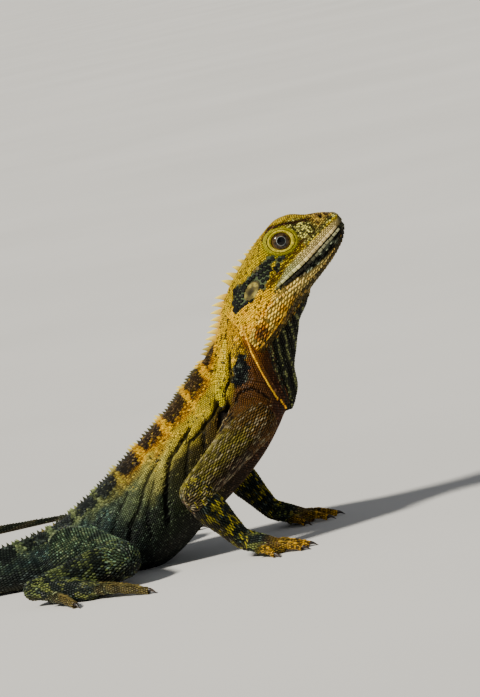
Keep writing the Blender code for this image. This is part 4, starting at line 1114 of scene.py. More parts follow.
def make_skin():
    skin = closed_mesh("skin", [f["rings"] for f in FLESH.all])
    finished_with(skin, "REMESH", mode="VOXEL", voxel_size=SKIN_VOXEL * MM, use_smooth_shade=True)
    finished_with(skin, "SMOOTH", factor=0.5, iterations=3)
    triangles = 2 * len(skin.data.polygons)
    if triangles > SKIN_TRIANGLES:
        finished_with(skin, "DECIMATE", ratio=SKIN_TRIANGLES / triangles)
    mesh = skin.data
    p = vertices_of(mesh)
    share = np.zeros(len(p))
    for middle, reach, strength in soft_joints():
        near = np.linalg.norm(p - middle, axis=1)
        share = np.maximum(share, strength * (1 - ease(0.55 * reach, reach, near)))
    moved_to(mesh, relaxed(p, mesh_edges(mesh), 0.6 * share, 60))
    p = vertices_of(mesh) - normals_of(mesh) * COAT_DEPTH
    owner, s = nearest_length(p)
    p = carved(p, owner, s)
    p[:, 2] = np.maximum(p[:, 2], 0.05)
    moved_to(mesh, p)
    out = normals_of(mesh)
    col = np.zeros((len(p), 3))
    for i, f in enumerate(FLESH.all):
        mine = owner == i
        if mine.any():
            col[mine] = marking(f, p[mine], out[mine], s[mine])
    # The skin shows in the gaps between scales and is darkened to 0.3 there as painted shade.
    col *= 0.3
    front = (owner == HEAD_INDEX) | ((owner == BODY_INDEX) & (s < NET_END))
    stripe = stripe_mask(model_to_head(p[front]), p[front])
    col[front] = mix(col[front], NET_SEAM, ease(0.6, 0.95, stripe))
    # Skin in the eye's socket, under the lid, is painted dark as shade.
    for side in ("right", "left"):
        far, high = round_eye(p, side, EYE_TALL)
        col = mix(col, colour(24, 18, 12), (1 - ease(5.8, 6.6, far)) * (high > 0))
    paint_points(mesh, col)
    mesh.shade_smooth()
    return skin, p, out


def paint_points(mesh, col, relief=None, tone=None):
    layer = mesh.attributes.new("marking", "FLOAT_COLOR", "POINT")
    layer.data.foreach_set("color", np.c_[np.clip(col, 0, 1), np.ones(len(col))].astype(np.float32).ravel())
    for name, values in (("relief", relief), ("tone", tone)):
        if values is not None:
            layer = mesh.attributes.new(name, "FLOAT", "POINT")
            layer.data.foreach_set("value", np.asarray(values, np.float32))


# Scale forms, modelled once each and copied


def edit(obj):
    only(obj)
    bpy.ops.object.mode_set(mode="EDIT")


def drawn_out(move, size):
    """Extrudes what is selected and resizes its new end."""
    bpy.ops.mesh.extrude_region_move(TRANSFORM_OT_translate={"value": move})
    bpy.ops.transform.resize(value=size)


def pick_faces(obj, test):
    """Selects in edit mode the faces whose centre and normal pass the test."""
    bpy.ops.mesh.select_all(action="DESELECT")
    bpy.ops.object.mode_set(mode="OBJECT")
    for f in obj.data.polygons:
        f.select = bool(test(f.center, f.normal))
    bpy.ops.object.mode_set(mode="EDIT")


def form_of(obj, name):
    """Takes the finished shape as arrays, with its relief from root to top, and removes the object."""
    bpy.ops.object.mode_set(mode="OBJECT")
    bpy.ops.object.transform_apply(location=True, rotation=True, scale=True)
    mesh = obj.data
    points = np.array([v.co for v in mesh.vertices])
    faces = [tuple(f.vertices) for f in mesh.polygons]
    high = points[:, 2] - points[:, 2].min()
    form = {
        "name": name,
        "points": points,
        "loops": np.concatenate([np.array(f) for f in faces]),
        "sizes": np.array([len(f) for f in faces]),
        "relief": high / high.max(),
    }
    bpy.data.objects.remove(obj)
    return form


def face_up(_, normal):
    return normal.z > 0.5


def keeled_form(sides=4, name="keeled"):
    """A long lozenge with a sharp ridge that rises towards its tail end."""
    bpy.ops.mesh.primitive_cylinder_add(vertices=sides, radius=0.5, depth=0.65, location=(0, 0, 0.175))
    obj = bpy.context.active_object
    edit(obj)
    if sides == 6:
        bpy.ops.mesh.select_all(action="SELECT")
        bpy.ops.transform.rotate(value=math.radians(30), orient_axis="Z")
    pick_faces(obj, face_up)
    bpy.ops.transform.resize(value=(0.7, 0.18, 1))
    bpy.ops.transform.translate(value=(0.1, 0, 0))
    bpy.ops.transform.rotate(value=math.radians(22), orient_axis="Y", center_override=(0.0, 0, 0.5))
    return form_of(obj, name)


def granule_form():
    """A low round bead."""
    bpy.ops.mesh.primitive_cylinder_add(vertices=6, radius=0.5, depth=0.65, location=(0, 0, 0.175))
    obj = bpy.context.active_object
    edit(obj)
    pick_faces(obj, face_up)
    bpy.ops.transform.resize(value=(0.6, 0.6, 1))
    return form_of(obj, "granule")


def bead_form():
    """A round bead with a shoulder, for lids, knobs and the edge of the lip."""
    bpy.ops.mesh.primitive_cylinder_add(vertices=8, radius=0.5, depth=0.5, location=(0, 0, 0.1))
    obj = bpy.context.active_object
    edit(obj)
    pick_faces(obj, face_up)
    drawn_out((0, 0, 0.14), (0.8, 0.8, 1))
    drawn_out((0, 0, 0.08), (0.5, 0.5, 1))
    return form_of(obj, "bead")


def plate_form():
    """A lip plate: a low block with rounded edges."""
    bpy.ops.mesh.primitive_cube_add(size=1.0, location=(0, 0, 0))
    obj = bpy.context.active_object
    edit(obj)
    pick_faces(obj, face_up)
    bpy.ops.mesh.inset(thickness=0.12, depth=0.0)
    bpy.ops.transform.translate(value=(0, 0, 0.22))
    return form_of(obj, "plate")


def spine_form(sides=8, steps=5, lean=0.55):
    """A spine as long as 1, curving back to its tip, flattened a little from side to side."""
    bpy.ops.mesh.primitive_circle_add(vertices=sides, radius=0.5, fill_type="NGON", location=(0, 0, -0.16))
    obj = bpy.context.active_object
    edit(obj)
    bpy.ops.mesh.select_all(action="SELECT")
    left = 1.0
    for k in range(steps):
        rise = (1.16 if k == 0 else 1.0) / steps
        new = max(0.03, (1 - (k + 1) / steps) ** 0.85)
        drawn_out((lean * rise * (k / steps) * 1.2, 0, rise), (new / left, new / left, 1))
        left = new
    bpy.ops.object.mode_set(mode="OBJECT")
    only(obj)
    form = form_of(obj, "spine")
    form["points"][:, 2] = np.minimum(form["points"][:, 2], 1.0)
    return form


class Coat:
    """Scales gathered for one piece and made into one mesh at the end."""

    def __init__(self, name):
        self.name = name
        self.parts = []

    def add(self, form, at, out, along, size, col, place, tip=None, tone=None):
        """size is length, width and height; place is each root's spot on the flat layout."""
        n = len(at)
        if n == 0:
            return
        size = np.broadcast_to(np.asarray(size, float), (n, 3))
        out = unit(out)
        along = unit(along - out * dot(along, out)[:, None])
        across = np.cross(out, along)
        local = form["points"]
        p = (
            at[:, None]
            + along[:, None] * (local[:, 0] * size[:, :1])[..., None]
            + across[:, None] * (local[:, 1] * size[:, 1:2])[..., None]
            + out[:, None] * (local[:, 2] * size[:, 2:])[..., None]
        )
        relief = np.broadcast_to(form["relief"], (n, len(local)))
        col = np.broadcast_to(col, (n, 3))
        shades = np.repeat(col[:, None], len(local), axis=1)
        if tip is not None:
            shades = mix(shades, np.broadcast_to(tip, (n, 3))[:, None], relief**0.8)
        tone = draw.uniform(0, 1, n) if tone is None else np.broadcast_to(tone, n)
        flat = local[:, :2] / max(np.ptp(local[:, :2]), 1e-6) * 0.003
        uv = place[:, None] + flat[None]
        tones = np.repeat(tone[:, None], len(local), axis=1)
        self.parts.append((form, p, relief, shades, tones, uv))

    def made(self, material, smooth):
        points, loops, sizes, relief, shades, tones, uvs = [], [], [], [], [], [], []
        base = 0
        for form, p, up, shade, tone, uv in self.parts:
            n, k = p.shape[:2]
            points.append(p.reshape(-1, 3))
            loops.append((form["loops"][None] + (base + np.arange(n) * k)[:, None]).ravel())
            sizes.append(np.tile(form["sizes"], n))
            relief.append(up.ravel())
            shades.append(shade.reshape(-1, 3))
            tones.append(tone.ravel())
            uvs.append(uv.reshape(-1, 2))
            base += n * k
        points, loops, sizes = np.vstack(points), np.concatenate(loops), np.concatenate(sizes)
        points[:, 2] = np.maximum(points[:, 2], 0.0)
        mesh = bpy.data.meshes.new(self.name)
        mesh.vertices.add(len(points))
        mesh.vertices.foreach_set("co", placed(points).astype(np.float32).ravel())
        mesh.loops.add(len(loops))
        mesh.loops.foreach_set("vertex_index", loops.astype(np.int32))
        mesh.polygons.add(len(sizes))
        starts = np.r_[0, np.cumsum(sizes)[:-1]].astype(np.int32)
        mesh.polygons.foreach_set("loop_start", starts)
        mesh.polygons.foreach_set("use_smooth", np.full(len(sizes), smooth))
        mesh.update(calc_edges=True)
        mesh.validate()
        paint_points(mesh, np.vstack(shades), np.concatenate(relief), np.concatenate(tones))
        layer = mesh.uv_layers.new(name="OFBake")
        layer.data.foreach_set("uv", np.vstack(uvs)[loops].astype(np.float32).ravel())
        mesh.materials.append(material)
        print(self.name, int((sizes - 2).sum()), "triangles")
        return linked(self.name, mesh)


# Where the scales stand


def resampled(rings, shares):
    """Points at even shares of the way round each ring."""
    out = []
    for ring in rings:
        closed = np.vstack([ring, ring[:1]])
        arc = arc_of(closed)
        out.append([np.interp(shares * arc[-1], arc, closed[:, i]) for i in range(3)])
    return np.array(out).transpose(0, 2, 1)


def staggered(rings, pitch_along, pitch_round, jitter=0.12):
    """Rows of places staggered over a loft: point, direction along, row share and round share."""
    shares = np.arange(RING_STEPS) / RING_STEPS
    grid = resampled(rings, shares)
    step = np.linalg.norm(np.diff(grid, axis=0), axis=2).mean(axis=1)
    arc = np.r_[0, np.cumsum(step)]
    rows = np.arange(0.3 * pitch_along, arc[-1], pitch_along)
    at, along, row_share, round_share = [], [], [], []
    ahead = np.gradient(grid, axis=0)
    count = 0
    for k, row in enumerate(rows):
        i = np.interp(row, arc, np.arange(len(arc)))
        a = int(min(i, len(arc) - 2))
        t = i - a
        ring = grid[a] * (1 - t) + grid[a + 1] * t
        lead = ahead[a] * (1 - t) + ahead[a + 1] * t
        girth = np.linalg.norm(np.diff(np.vstack([ring, ring[:1]]), axis=0), axis=1).sum()
        want = girth / pitch_round
        if count == 0 or abs(count / want - 1) > 0.08:
            count = max(4, round(want))
        spot = (np.arange(count) + 0.5 * (k % 2) + draw.uniform(-jitter, jitter, count)) / count % 1
        j = spot * RING_STEPS
        lo = j.astype(int) % RING_STEPS
        f = (j - j.astype(int))[:, None]
        at.append(ring[lo] * (1 - f) + ring[(lo + 1) % RING_STEPS] * f)
        along.append(lead[lo])
        row_share.append(np.full(count, row / arc[-1]))
        round_share.append(spot)
    return np.vstack(at), unit(np.vstack(along)), np.concatenate(row_share), np.concatenate(round_share)


class Surface:
    """The finished skin, for setting scales on it."""

    def __init__(self, mesh, points, normals):
        faces = [tuple(f.vertices) for f in mesh.polygons]
        self.tree = BVHTree.FromPolygons(points.tolist(), faces)
        self.faces = faces
        self.normals = normals

    def under(self, p):
        """Nearest skin point, smooth normal and distance for each of p."""
        at, out, far = np.zeros_like(p), np.zeros_like(p), np.zeros(len(p))
        for i, q in enumerate(p):
            near, _, face, distance = self.tree.find_nearest(q)
            at[i] = near
            out[i] = self.normals[list(self.faces[face])].mean(axis=0)
            far[i] = distance
        return at, unit(out), far


class Crowd:
    """Keeps new places at least some distance from those already taken."""

    def __init__(self):
        self.cell = 0.9
        self.taken = {}

    def block(self, p, reach):
        """Takes the places round each point too, so that nothing small stands under a big scale."""
        for q in p:
            for step in ((reach, 0), (-reach, 0), (0, reach), (0, -reach)):
                spot = (q[0] + step[0], q[1] + step[1], q[2])
                key = tuple(math.floor(v / self.cell) for v in spot)
                self.taken.setdefault(key, []).append(spot)

    def free(self, p, room):
        """Which of the points keep their distance from points taken in earlier calls."""
        keys = np.floor(p / self.cell).astype(int)
        ok = np.ones(len(p), bool)
        reach = [(i, j, k) for i in (-1, 0, 1) for j in (-1, 0, 1) for k in (-1, 0, 1)]
        for n, (key, q) in enumerate(zip(map(tuple, keys), p)):
            for d in reach:
                cell = self.taken.get((key[0] + d[0], key[1] + d[1], key[2] + d[2]), ())
                if any(abs(q[0] - c[0]) + abs(q[1] - c[1]) + abs(q[2] - c[2]) < room for c in cell):
                    ok[n] = False
                    break
        for key, q in zip(map(tuple, keys[ok]), p[ok]):
            self.taken.setdefault(key, []).append(tuple(q))
        return ok


# Rectangles of the flat layout for the coat's colours: left, low, wide, high.
LAYOUT = {
    "trunk": (0.01, 0.51, 0.48, 0.48),
    "tail": (0.51, 0.51, 0.48, 0.48),
    "head": (0.01, 0.01, 0.32, 0.48),
    "pouch": (0.35, 0.01, 0.08, 0.48),
}


def layout_spot(box, row, spot):
    return np.c_[box[0] + box[2] * row, box[1] + box[3] * spot]


def head_spot(x, share):
    """Spots on the layout for scales at x on the head, in a line of their own."""
    return layout_spot(LAYOUT["head"], (50 - x) / 64, np.full(len(x), share))


def trunk_spot(s, angle):
    return layout_spot(LAYOUT["trunk"], s / BODY.length, (angle / (2 * math.pi)) % 1)


KEELED = keeled_form()
KEELED_SIX = keeled_form(6, "keeled six")
GRANULE = granule_form()
BEAD = bead_form()
PLATE = plate_form()
SPINE = spine_form()
SPIKE = spine_form(5, 3, 0.5)


def flecked(col, share=0.1):
    """Some scales stand out: dark ones among the bright, and paler ones among the dark."""
    light = col.max(axis=1)
    pick = draw.uniform(0, 1, len(col))
    dark = (pick < share) * ease(0.12, 0.32, light)
    col = mix(col, col * 0.1, dark * 0.95)
    pale = (pick > 0.86) * (1 - ease(0.05, 0.12, light)) * ease(0.004, 0.012, light)
    return mix(col, np.minimum(col * 4.2 + 0.02, 0.34), pale * 0.85)


# Materials


class Wire:
    """A value in a material. Arithmetic on it adds Math nodes."""

    def __init__(self, maker, socket):
        self.maker = maker
        self.socket = socket

    def _sum(self, operation, first, second):
        return self.maker.node("ShaderNodeMath", {"operation": operation}, {0: first, 1: second})

    def __add__(self, other):
        return self._sum("ADD", self, other)

    __radd__ = __add__

    def __sub__(self, other):
        return self._sum("SUBTRACT", self, other)

    def __rsub__(self, other):
        return self._sum("SUBTRACT", other, self)

    def __mul__(self, other):
        return self._sum("MULTIPLY", self, other)

    __rmul__ = __mul__

    def __truediv__(self, other):
        return self._sum("DIVIDE", self, other)

    def __pow__(self, other):
        return self._sum("POWER", self, other)

    def below(self, other):
        return self._sum("LESS_THAN", self, other)


class Finish:
    """A material in the making."""

    def __init__(self, name, **constants):
        self.material = bpy.data.materials.new(name)
        self.material.use_nodes = True
        self.tree = self.material.node_tree
        self.shader = self.tree.nodes["Principled BSDF"]
        for key, value in constants.items():
            self.shader.inputs[key.replace("_", " ")].default_value = value

    def node(self, kind, settings=None, inputs=None, output=0):
        made = self.tree.nodes.new(kind)
        for key, value in (settings or {}).items():
            setattr(made, key, value)
        for key, value in (inputs or {}).items():
            self.feed(made.inputs[key], value)
        return Wire(self, made.outputs[output])

    def feed(self, socket, value):
        if isinstance(value, Wire):
            self.tree.links.new(value.socket, socket)
        elif hasattr(socket.default_value, "__len__") and not hasattr(value, "__len__"):
            socket.default_value = [value] * len(socket.default_value)
        else:
            socket.default_value = value

    def attribute(self, name, output):
        return self.node("ShaderNodeAttribute", {"attribute_name": name}, output=output)

    def place(self):
        return self.node("ShaderNodeTexCoord", output="Object")

    def noise(self, scale, detail=3.0):
        inputs = {"Vector": self.place(), "Scale": scale, "Detail": detail, "Roughness": 0.55}
        return self.node("ShaderNodeTexNoise", inputs=inputs)

    def pits(self, scale):
        inputs = {"Vector": self.place(), "Scale": scale}
        return self.node("ShaderNodeTexVoronoi", None, inputs, "Distance")

    def ramp(self, value, low, high, bottom=0.0, top=1.0):
        inputs = {"Value": value, "From Min": low, "From Max": high, "To Min": bottom, "To Max": top}
        return self.node("ShaderNodeMapRange", {"interpolation_type": "SMOOTHSTEP"}, inputs)

    def blend(self, share, first, second):
        """A mix of two colours, whose sockets on the node are numbers 6 and 7, with the result number 2."""
        made = self.tree.nodes.new("ShaderNodeMix")
        made.data_type = "RGBA"
        self.feed(made.inputs[0], share)
        self.feed(made.inputs[6], first)
        self.feed(made.inputs[7], second)
        return Wire(self, made.outputs[2])

    def scaled(self, shade, value):
        """A colour made lighter or darker by a value."""
        return self.node("ShaderNodeVectorMath", {"operation": "SCALE"}, {0: shade, "Scale": value})

    def bump(self, height, strength, distance):
        inputs = {"Height": height, "Strength": strength, "Distance": distance}
        return self.node("ShaderNodeBump", inputs=inputs)

    def surface(self, **sockets):
        for key, value in sockets.items():
            self.feed(self.shader.inputs[key.replace("_", " ")], value)
        return self.material


def tint(*rgb):
    return (*colour(*rgb), 1.0)


def skin_finish():
    f = Finish("dragon skin", Specular_IOR_Level=0.06)
    grain = f.noise(900)
    pits = f.pits(1500)
    shade = f.scaled(f.attribute("marking", "Color"), 0.65 + 0.7 * grain)
    bump = f.bump(pits + 0.4 * grain, 0.5, 0.0002)
    return f.surface(Base_Color=shade, Roughness=f.ramp(grain, 0.3, 0.7, 0.55, 0.8), Normal=bump)


def scale_finish(name, edge=0.1, gloss=0.46, level=0.16):
    """Scales: painted shade at the root, where neighbours meet, and a painted highlight on the keel, each a
    little different from its neighbours.
    """
    f = Finish(name, Specular_IOR_Level=level)
    relief = f.attribute("relief", "Fac")
    tone = f.attribute("tone", "Fac")
    grain = f.noise(2600, 2.0)
    # edge is how dark the painted shade at a scale's root is; near the top the ramp passes 1 as a painted
    # highlight.
    light = f.ramp(relief, 0.2, 0.85, edge, 1.14) * (0.7 + 0.55 * tone) * (0.82 + 0.36 * grain)
    shade = f.scaled(f.attribute("marking", "Color"), light)
    rough = f.ramp(tone + 0.4 * grain, 0.1, 1.2, gloss - 0.08, gloss + 0.2)
    return f.surface(Base_Color=shade, Roughness=rough, Normal=f.bump(grain, 0.25, 0.0001))


def horn_finish(name, dark, light, rough):
    f = Finish(name, Specular_IOR_Level=0.5)
    streak = f.noise(700, 4.0)
    shade = f.blend(f.ramp(streak, 0.35, 0.65), tint(*dark), tint(*light))
    dull = f.ramp(streak, 0.3, 0.7, rough, rough + 0.2)
    return f.surface(Base_Color=shade, Roughness=dull, Normal=f.bump(streak, 0.3, 0.0001))


def drum_finish():
    f = Finish("ear drum", Specular_IOR_Level=0.1)
    cloud = f.noise(420, 3.0)
    vein = f.noise(1500, 2.0)
    far = f.attribute("relief", "Fac")
    shade = f.blend(f.ramp(cloud, 0.38, 0.62), tint(150, 136, 64), tint(84, 74, 30))
    shade = f.blend(f.ramp(far + 0.5 * (vein - 0.5), 0.15, 0.8, 0.95, 0.0), shade, tint(34, 29, 12))
    # Painted shade in a dark rim where the drum sinks under the skin.
    shade = f.blend(f.ramp(far, 0.95, 1.1, 0.0, 0.85), shade, tint(20, 18, 12))
    dull = f.ramp(vein, 0.3, 0.7, 0.5, 0.65)
    return f.surface(Base_Color=shade, Roughness=dull, Normal=f.bump(vein, 0.35, 0.0002))


def eye_finish():
    """A round pupil, a thin silver ring round it and a mottled brown iris, under a clear wet coat."""
    f = Finish("eye", Coat_Weight=0.3, Coat_Roughness=0.03, Specular_IOR_Level=0.08)
    far = f.attribute("from_pupil", "Fac")
    cloud = f.noise(900, 3.0)
    spots = f.noise(2200, 2.0)
    iris = f.blend(f.ramp(cloud, 0.4, 0.6), tint(26, 19, 13), tint(74, 58, 38))
    iris = f.blend(f.ramp(far + 1.4 * (spots - 0.5), 3.3, 3.9), iris, tint(112, 84, 40))
    iris = f.blend(f.ramp(far, 3.95, 4.3), iris, tint(14, 9, 6))
    silver = f.ramp(far, 1.78, 1.88) * (1 - f.ramp(far, 1.92, 2.15))
    shade = f.blend(silver * f.ramp(spots, 0.3, 0.6, 0.15, 0.8), iris, tint(150, 162, 160))
    shade = f.blend(1 - f.ramp(far, 1.72, 1.84), shade, tint(2, 2, 3))
    return f.surface(Base_Color=shade, Roughness=f.ramp(cloud, 0.3, 0.7, 0.16, 0.28))


def floor_finish():
    f = Finish("pale floor")
    cloud = f.noise(2.0, 3.0)
    shade = f.blend(f.ramp(cloud, 0.2, 0.8), tint(222, 220, 214), tint(230, 228, 223))
    return f.surface(Base_Color=shade, Roughness=f.ramp(cloud, 0.2, 0.8, 0.8, 0.9))


# Pieces


def dressed(obj, material, slot, *nodes):
    if material is not None:
        obj.data.materials.clear()
        obj.data.materials.append(material)
    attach(obj, "root")
    if nodes:
        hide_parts(*nodes)
    return obj


def turned_to(axes, centre):
    """The matrix that takes a piece modelled about its own Z axis to its place on the head."""
    m = Matrix(np.array(axes).T.tolist()).to_4x4()
    m.translation = Vector(placed(centre))
    return m


def settled(obj, matrix):
    """Puts the piece's place into its mesh, and leaves its object at the origin."""
    bpy.ops.object.mode_set(mode="OBJECT")
    obj.data.transform(matrix)
    obj.matrix_world = Matrix.Identity(4)
    return obj


def eyeball(side, material):
    centre, axes = eye_frame(side)
    radius = EYE_RADIUS * MM
    bpy.ops.mesh.primitive_uv_sphere_add(segments=64, ring_count=48, radius=radius, location=(0, 0, 0))
    obj = bpy.context.active_object
    obj.name = f"eyeball_{side}"
    edit(obj)
    front = 0.8 * radius
    pick_faces(obj, lambda centre, _: centre.z > front)
    bpy.ops.transform.resize(value=(1, 1, 1.03), center_override=(0, 0, front))
    bpy.ops.object.mode_set(mode="OBJECT")
    far = np.array([math.hypot(v.co.x, v.co.y) / MM if v.co.z > 0 else 9.0 for v in obj.data.vertices])
    layer = obj.data.attributes.new("from_pupil", "FLOAT", "POINT")
    layer.data.foreach_set("value", far.astype(np.float32))
    settled(obj, turned_to(axes, centre))
    obj.data.shade_smooth()
    return dressed(obj, material, "eye", f"eye_{side}")


def ear_drum(side, material):
    centre, axes = ear_frame(side)
    bpy.ops.mesh.primitive_circle_add(vertices=48, radius=1.0, fill_type="NGON", location=(0, 0, 0))
    obj = bpy.context.active_object
    obj.name = f"ear_drum_{side}"
    edit(obj)
    bpy.ops.mesh.select_all(action="SELECT")
    bpy.ops.mesh.extrude_region_move(TRANSFORM_OT_translate={"value": (0, 0, 0.25)})
    for inset, rise in ((0.16, -0.03), (0.2, -0.05), (0.22, 0.02), (0.2, 0.08)):
        bpy.ops.mesh.inset(thickness=inset, depth=rise)
    bpy.ops.object.mode_set(mode="OBJECT")
    size = np.array((EAR_SIZE[0] * 0.96, EAR_SIZE[1] * 0.96, 1.0)) * MM
    far = [math.hypot(v.co.x + 0.25, v.co.y) for v in obj.data.vertices]
    layer = obj.data.attributes.new("relief", "FLOAT", "POINT")
    layer.data.foreach_set("value", np.array(far, np.float32))
    for v in obj.data.vertices:
        v.co = Vector((v.co.x * size[0], v.co.y * size[1], v.co.z * 1.6 * MM))
    settled(obj, turned_to(axes, centre - axes[2] * 1.4))
    finished_with(obj, "BEVEL", width=0.15 * MM, segments=2, limit_method="ANGLE")
    obj.data.shade_smooth()
    return dressed(obj, material, "ear_drum", f"ear_{side}")


# Rings of the lids from the opening out, as distance from the eye's middle and height, and of the beads on
# them, with their size.
LID_ROWS = (
    (4.3, 2.95), (4.42, 3.5), (4.75, 4.05), (5.2, 4.3), (5.7, 4.2), (6.05, 3.7), (6.25, 3.72), (6.7, 4.05),
    (7.2, 3.85), (7.6, 3.2), (8.0, 2.2),
)
LID_BEADS = (
    (4.5, 3.58, 0.42), (4.86, 4.1, 0.46), (5.28, 4.3, 0.46), (5.68, 4.18, 0.42), (6.55, 3.98, 0.52),
    (7.0, 3.95, 0.56), (7.45, 3.5, 0.56),
)


def lid_tall(far):
    """How flattened the lids' rings are: less near the opening than further out."""
    return np.interp(far, (4.3, 6.0), (0.88, 0.8))


def lid(side, material):
    """The ring of skin round the eye: a rolled edge, a thin groove and a lower outer fold."""
    centre, axes = eye_frame(side)
    first = LID_ROWS[0][0] * MM
    bpy.ops.mesh.primitive_circle_add(vertices=96, radius=first, fill_type="NOTHING", location=(0, 0, 0))
    obj = bpy.context.active_object
    obj.name = f"lid_{side}"
    edit(obj)
    bpy.ops.mesh.select_all(action="SELECT")
    bpy.ops.transform.translate(value=(0, 0, LID_ROWS[0][1] * MM))
    for (r0, h0), (r1, h1) in zip(LID_ROWS[:-1], LID_ROWS[1:]):
        drawn_out((0, 0, (h1 - h0) * MM), (r1 / r0, r1 / r0, 1))
    drawn_out((0, 0, -1.2 * MM), (0.62, 0.62, 1))
    bpy.ops.object.mode_set(mode="OBJECT")
    for v in obj.data.vertices:
        v.co.y *= float(lid_tall(math.hypot(v.co.x, v.co.y) / MM))
    settled(obj, turned_to(axes, centre))
    p = vertices_of(obj.data)
    far = round_eye(p, side, 0.82)[0]
    paint_points(obj.data, lid_colours(far, p) * 0.7, np.ones(len(p)) * 0.85, np.ones(len(p)) * 0.5)
    obj.data.shade_smooth()
    return dressed(obj, material, "head_skin")


def lid_colours(far, p):
    col = mix(colour(168, 156, 24), colour(200, 182, 56), ease(-0.3, 0.6, mottle(p, 2.0, 3)))
    # Painted shade in the lid's thin groove and at its opening next to the eye.
    col = mix(col, colour(18, 15, 6), np.exp(-(((far - 6.1) / 0.24) ** 2)))
    col = mix(col, colour(16, 12, 8), 1 - ease(4.28, 4.5, far))
    return mix(col, colour(144, 138, 24), ease(6.3, 6.9, far))


def lid_beads(coat):
    """Rows of fine grains that follow the lids round."""
    for side in ("right", "left"):
        centre, axes = eye_frame(side)
        for k, (far, high, size) in enumerate(LID_BEADS):
            count = round(2 * math.pi * far * 0.92 / (size * 1.04))
            a = (np.arange(count) + 0.5 * (k % 2)) * 2 * math.pi / count
            local = np.c_[far * np.cos(a), far * lid_tall(far) * np.sin(a), np.full(count, high)]
            lean = (far - 5.3) * (0.9 if far < 6 else 0.5)
            tilt = np.c_[np.cos(a) * lean, np.sin(a) * lean, np.ones(count)]
            at = local @ axes + centre
            around = np.c_[-np.sin(a), np.cos(a), 0 * a] @ axes
            col = lid_colours(np.full(count, far), at)
            place = layout_spot(LAYOUT["head"], np.full(count, 0.4 + 0.02 * k), a / 6.3)
            coat.add(BEAD, at, tilt @ axes, around, (size * 1.05, size, size * 0.5), col, place)


def nostril_beads(coat, surface):
    """A ring of small grains round each nostril."""
    for side in ("right", "left"):
        centre = head_to_model(sided(NOSTRIL_AT, side))
        at, out, _ = surface.under(centre[None])
        axes = axes_facing(out[0])
        for far, size in ((1.25, 0.62), (1.85, 0.66)):
            count = round(2 * math.pi * far / size)
            a = np.arange(count) * 2 * math.pi / count
            ring = at + np.c_[far * np.cos(a), far * np.sin(a), 0 * a] @ axes
            on, up, _ = surface.under(ring)
            around = np.c_[-np.sin(a), np.cos(a), 0 * a] @ axes
            col = mix(head_marking(on), colour(120, 92, 40), 0.5)
            place = layout_spot(LAYOUT["head"], np.full(count, 0.06), a / 6.3)
            coat.add(BEAD, on, up, around, (size, size * 0.95, size * 0.5), col, place)


def lip_line(xs, lift, side):
    """Points along the lip at some height above the mouth, on the head's own surface."""
    z = pchip(HEAD_X, MOUTH_Z, xs) + lift
    y = pchip(HEAD_X, MOUTH_Y, xs)
    return head_to_model(np.c_[xs, y * sign_of(side), z])


def lip_shrink(x):
    """How much smaller the plates of the lips get towards the corner and the tip of the mouth."""
    return np.interp(x, (12, 20, 40, 49), (0.55, 1.0, 0.95, 0.8))


def lip_plates(coat, surface):
    """A row of plates above the mouth with rows of small scales over it, and one row below."""
    rows = (
        (0.98, 1.45, 2.2, 0.55, PLATE), (2.25, 0.85, 1.3, 0.4, KEELED_SIX),
        (3.05, 0.85, 1.25, 0.38, KEELED_SIX), (3.8, 0.8, 1.25, 0.38, KEELED_SIX),
        (-1.05, 1.15, 2.2, 0.5, PLATE),
    )
    for k, (lift, tall, pitch, high, form) in enumerate(rows):
        xs = np.arange(MOUTH_BACK_X + 2.0 + 0.6 * k, 48.6, pitch)
        shrink = lip_shrink(xs)
        for side in ("right", "left"):
            line = lip_line(xs, lift * shrink, side)
            nxt = lip_line(xs + 0.5, lift * shrink, side)
            at, out, _ = surface.under(line)
            col = head_marking(at)
            if k == 0:
                pale = mix(colour(204, 202, 138), colour(236, 212, 146), ease(20, 34, xs))
                col = mix(pale, colour(124, 98, 62), draw.uniform(0, 0.45, len(xs)))
            # The lower lip plates are dark at the back and pale towards the front: partly their own colour
            # and partly painted shade under the upper lip.
            if k == 4:
                front = ease(28, 42, xs) * 0.85 * draw.uniform(0.5, 1.0, len(xs))
                col = mix(colour(36, 34, 24), colour(168, 166, 126), front)
            size = np.c_[np.full(len(xs), pitch * 0.94), tall * shrink, np.full(len(xs), high)]
            coat.add(form, at, out, nxt - line, size, col, head_spot(xs, 0.25 + 0.03 * k))


# The row of long pale scales under the jaw, forward and up in the head's frame.
JAW_CHAIN = [
    (41.0, -5.8), (36.0, -6.5), (31.0, -6.8), (25.0, -5.9), (19.5, -4.6), (14.0, -3.8), (8.0, -3.4),
    (2.0, -3.8),
]


def backwards(n, fall):
    """For each of n scales the direction back along the head, with some fall."""
    return np.repeat(head_direction((-1, 0, -fall))[None], n, axis=0)


def jaw_chain(coat, surface):
    """The line of long pale scales along the lower edge of the jaw."""
    line = catmull(JAW_CHAIN, 6)
    arc = arc_of(line)
    rows = np.arange(0, arc[-1], 1.55)
    x, z = (np.interp(rows, arc, line[:, i]) for i in (0, 1))
    wide = np.interp(x, (-6, 10, 38), (1.9, 1.8, 1.3))
    for side in (-1, 1):
        y = side * pchip(HEAD_X, JAW_Y, x)
        at, out, _ = surface.under(head_to_model(np.c_[x, y, z]))
        # The chain's pale scales are brightened as painted light, though they face down.
        col = mix(colour(252, 226, 130), colour(236, 174, 40), draw.uniform(0, 0.7, len(x)))
        size = np.c_[wide * 1.25, wide * 0.8, wide * 0.6]
        coat.add(KEELED_SIX, at, out, backwards(len(x), 0.2), size, col, head_spot(x, 0.42))


# The row of beads at the back of the throat, as points forward, up and sideways.
THROAT_CHAIN = [(25.0, 98.5, 14.0), (19.5, 92.2, 14.0), (14.5, 87.0, 14.0), (10.2, 82.5, 14.0)]


